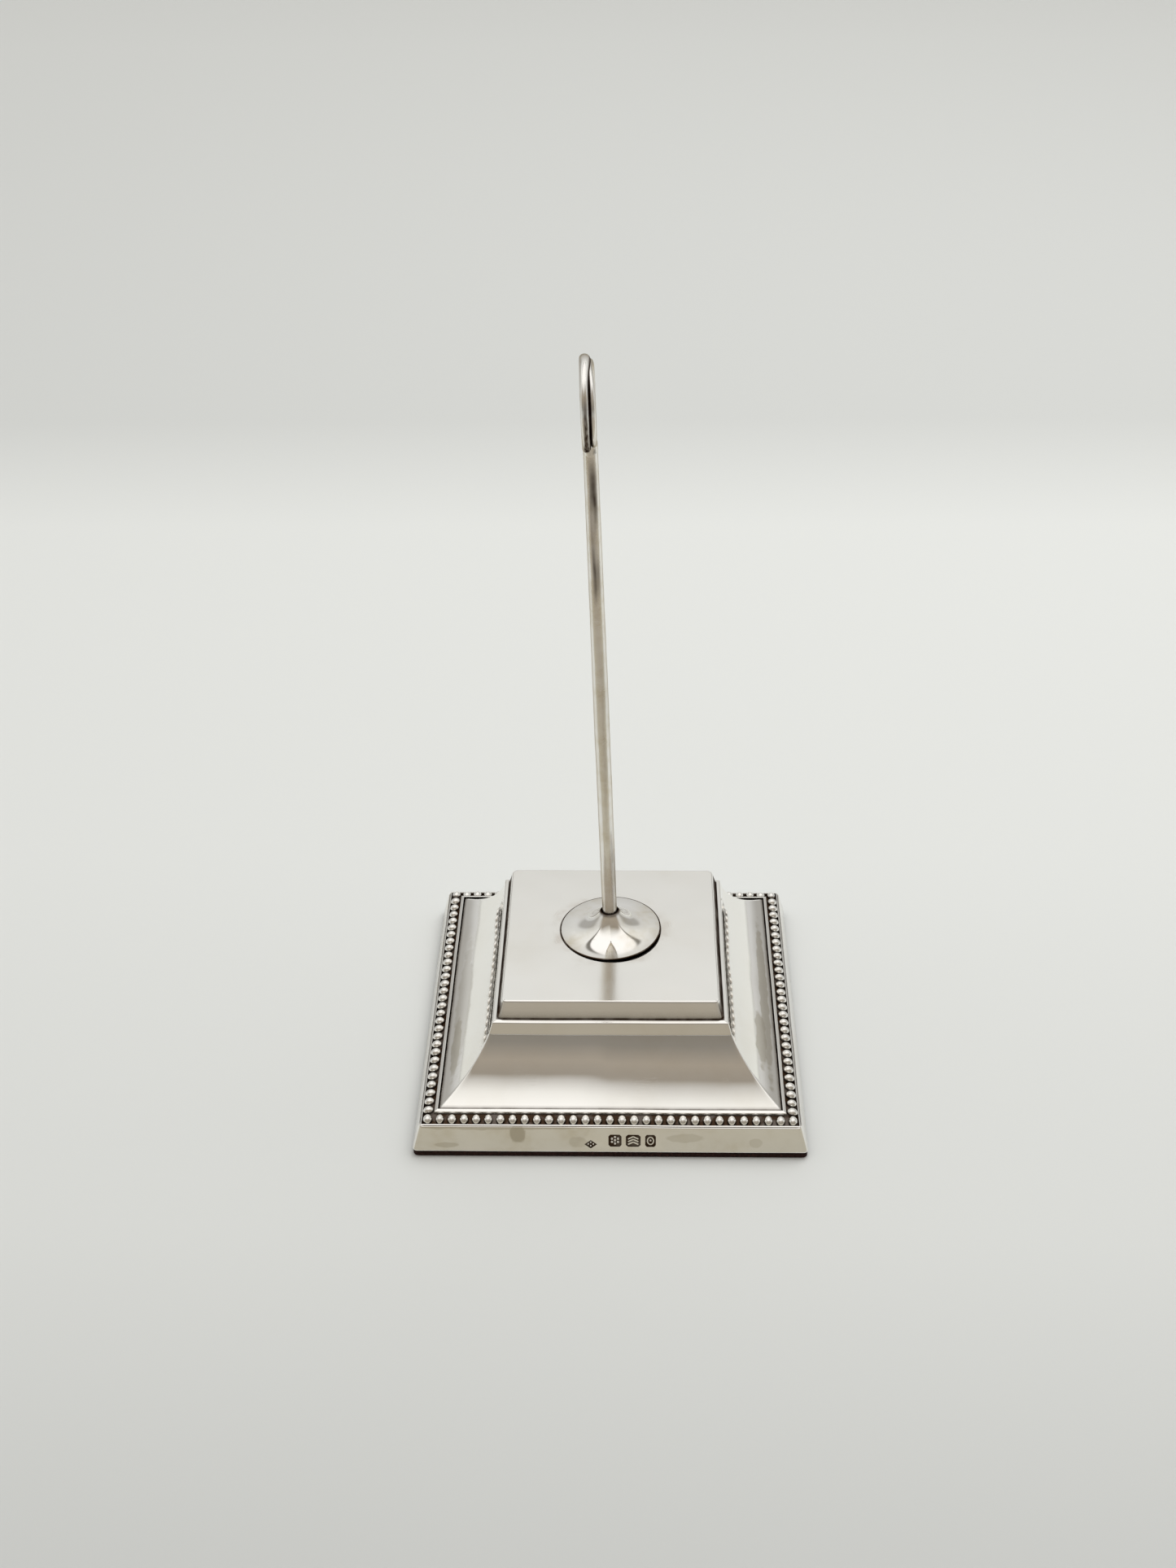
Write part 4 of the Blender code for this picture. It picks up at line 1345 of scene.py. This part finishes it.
def clip_tarnish_shade_and_reflection(around, along, facing):
    """Darkening on the wire: tarnish and painted shade on the side that faces the other turn, and a painted
    dark reflection in a streak in front.
    """
    # Tarnish and painted shade on the side that faces the other turn.
    across = math.sin(around) * facing
    if facing < 0:
        return max(0.0, min(1.0, (across - 0.05) / 0.30))
    hidden = max(0.0, min(1.0, (across - 0.70) / 0.20))
    # Painted dark reflection: a streak down the lower front of the outer turn.
    turned = math.degrees(along)
    front = max(0.0, min(1.0, (turned - 235) / 30))
    width = 0.30 + 0.50 * max(0.0, (turned - 235) / 90)
    dark_reflection_streak = max(0.0, min(1.0, 1.7 - 1.5 * abs(math.sin(around) - 0.12) / width))
    if math.cos(around) < -0.2:
        dark_reflection_streak = 0.0
    ragged = 0.90 + 0.5 * noise.noise(Vector((along * 9, around * 3, 0)))
    return max(hidden, min(1.0, front * dark_reflection_streak * ragged))


def wire_turn(name, turn, body, node):
    """Wire bent round the clip's centre, open at the bottom by a half angle in degrees."""
    opening = math.radians(turn["opening"])
    closed = turn["opening"] == 0
    facing = 1 if turn["offset"] < 0 else -1
    rings = []
    grime_and_shade_values = []
    for step in range(TURN_STEPS if closed else TURN_STEPS + 1):
        along = opening + (2 * math.pi - 2 * opening) * step / TURN_STEPS
        out = Vector((0, math.sin(along), -math.cos(along)))
        at_top = math.exp(-((along - math.pi) / 0.55) ** 2)
        offset = turn["offset"] * (1 - 0.50 * at_top)
        wire = turn["wire"] * (1 + 0.04 * noise.noise(out * 2.2 + Vector((offset * 3, 0, 0))))
        ring = []
        values = []
        for side in range(WIRE_SIDES):
            around = 2 * math.pi * side / WIRE_SIDES
            reach = turn["radius"] + wire * math.cos(around)
            across = wire * (1 + turn["spread"] * at_top) * math.sin(around)
            ring.append(out * reach * MM + Vector(((offset + across) * MM, 0, ring_centre)))
            values.append(clip_tarnish_shade_and_reflection(around, along, facing))
        rings.append(ring)
        grime_and_shade_values.append(values)
    piece = skin(name, rings, grime_and_shade_values, WIRE, closed, clip_frame)
    settle(piece, body, "polished_silver", node)


wire_turn("clip_outer_turn", OUTER_TURN, "stem", "clip_fixed_turn")
wire_turn("clip_free_turn", FREE_TURN, "spring_turn", "clip_spring_turn")


# %% [markdown]
# ## The solder joint
#
# Where the wire meets the stem the solder has flowed into a rough sleeve, a little wider than
# the stem. It is a ball pulled out into a drop, with a lumpy surface made by noise.

# %% Solder
solder_data = bmesh.new()
bmesh.ops.create_uvsphere(solder_data, u_segments=48, v_segments=40, radius=1.0)
solder_layer = solder_data.verts.layers.float.new("grime_and_shade")
solder_middle = Vector((0, 0, ring_centre - 6.55 * MM))
for vertex in solder_data.verts:
    direction = vertex.co.copy()
    lump = noise.noise(direction * 2.4 + Vector((4, 1, 7)))
    reach_up = 1.5 if direction.z > 0 else 3.4
    shape = Vector((1.14 * direction.x, 1.20 * direction.y, reach_up * direction.z)) * MM
    vertex.co = solder_middle + shape * (1 + 0.04 * lump)
    vertex[solder_layer] = max(0.0, min(0.5, -0.9 * lump - 0.15))
solder = finish_mesh("solder_joint", solder_data, WIRE, clip_frame)
settle(solder, "stem", "polished_silver")
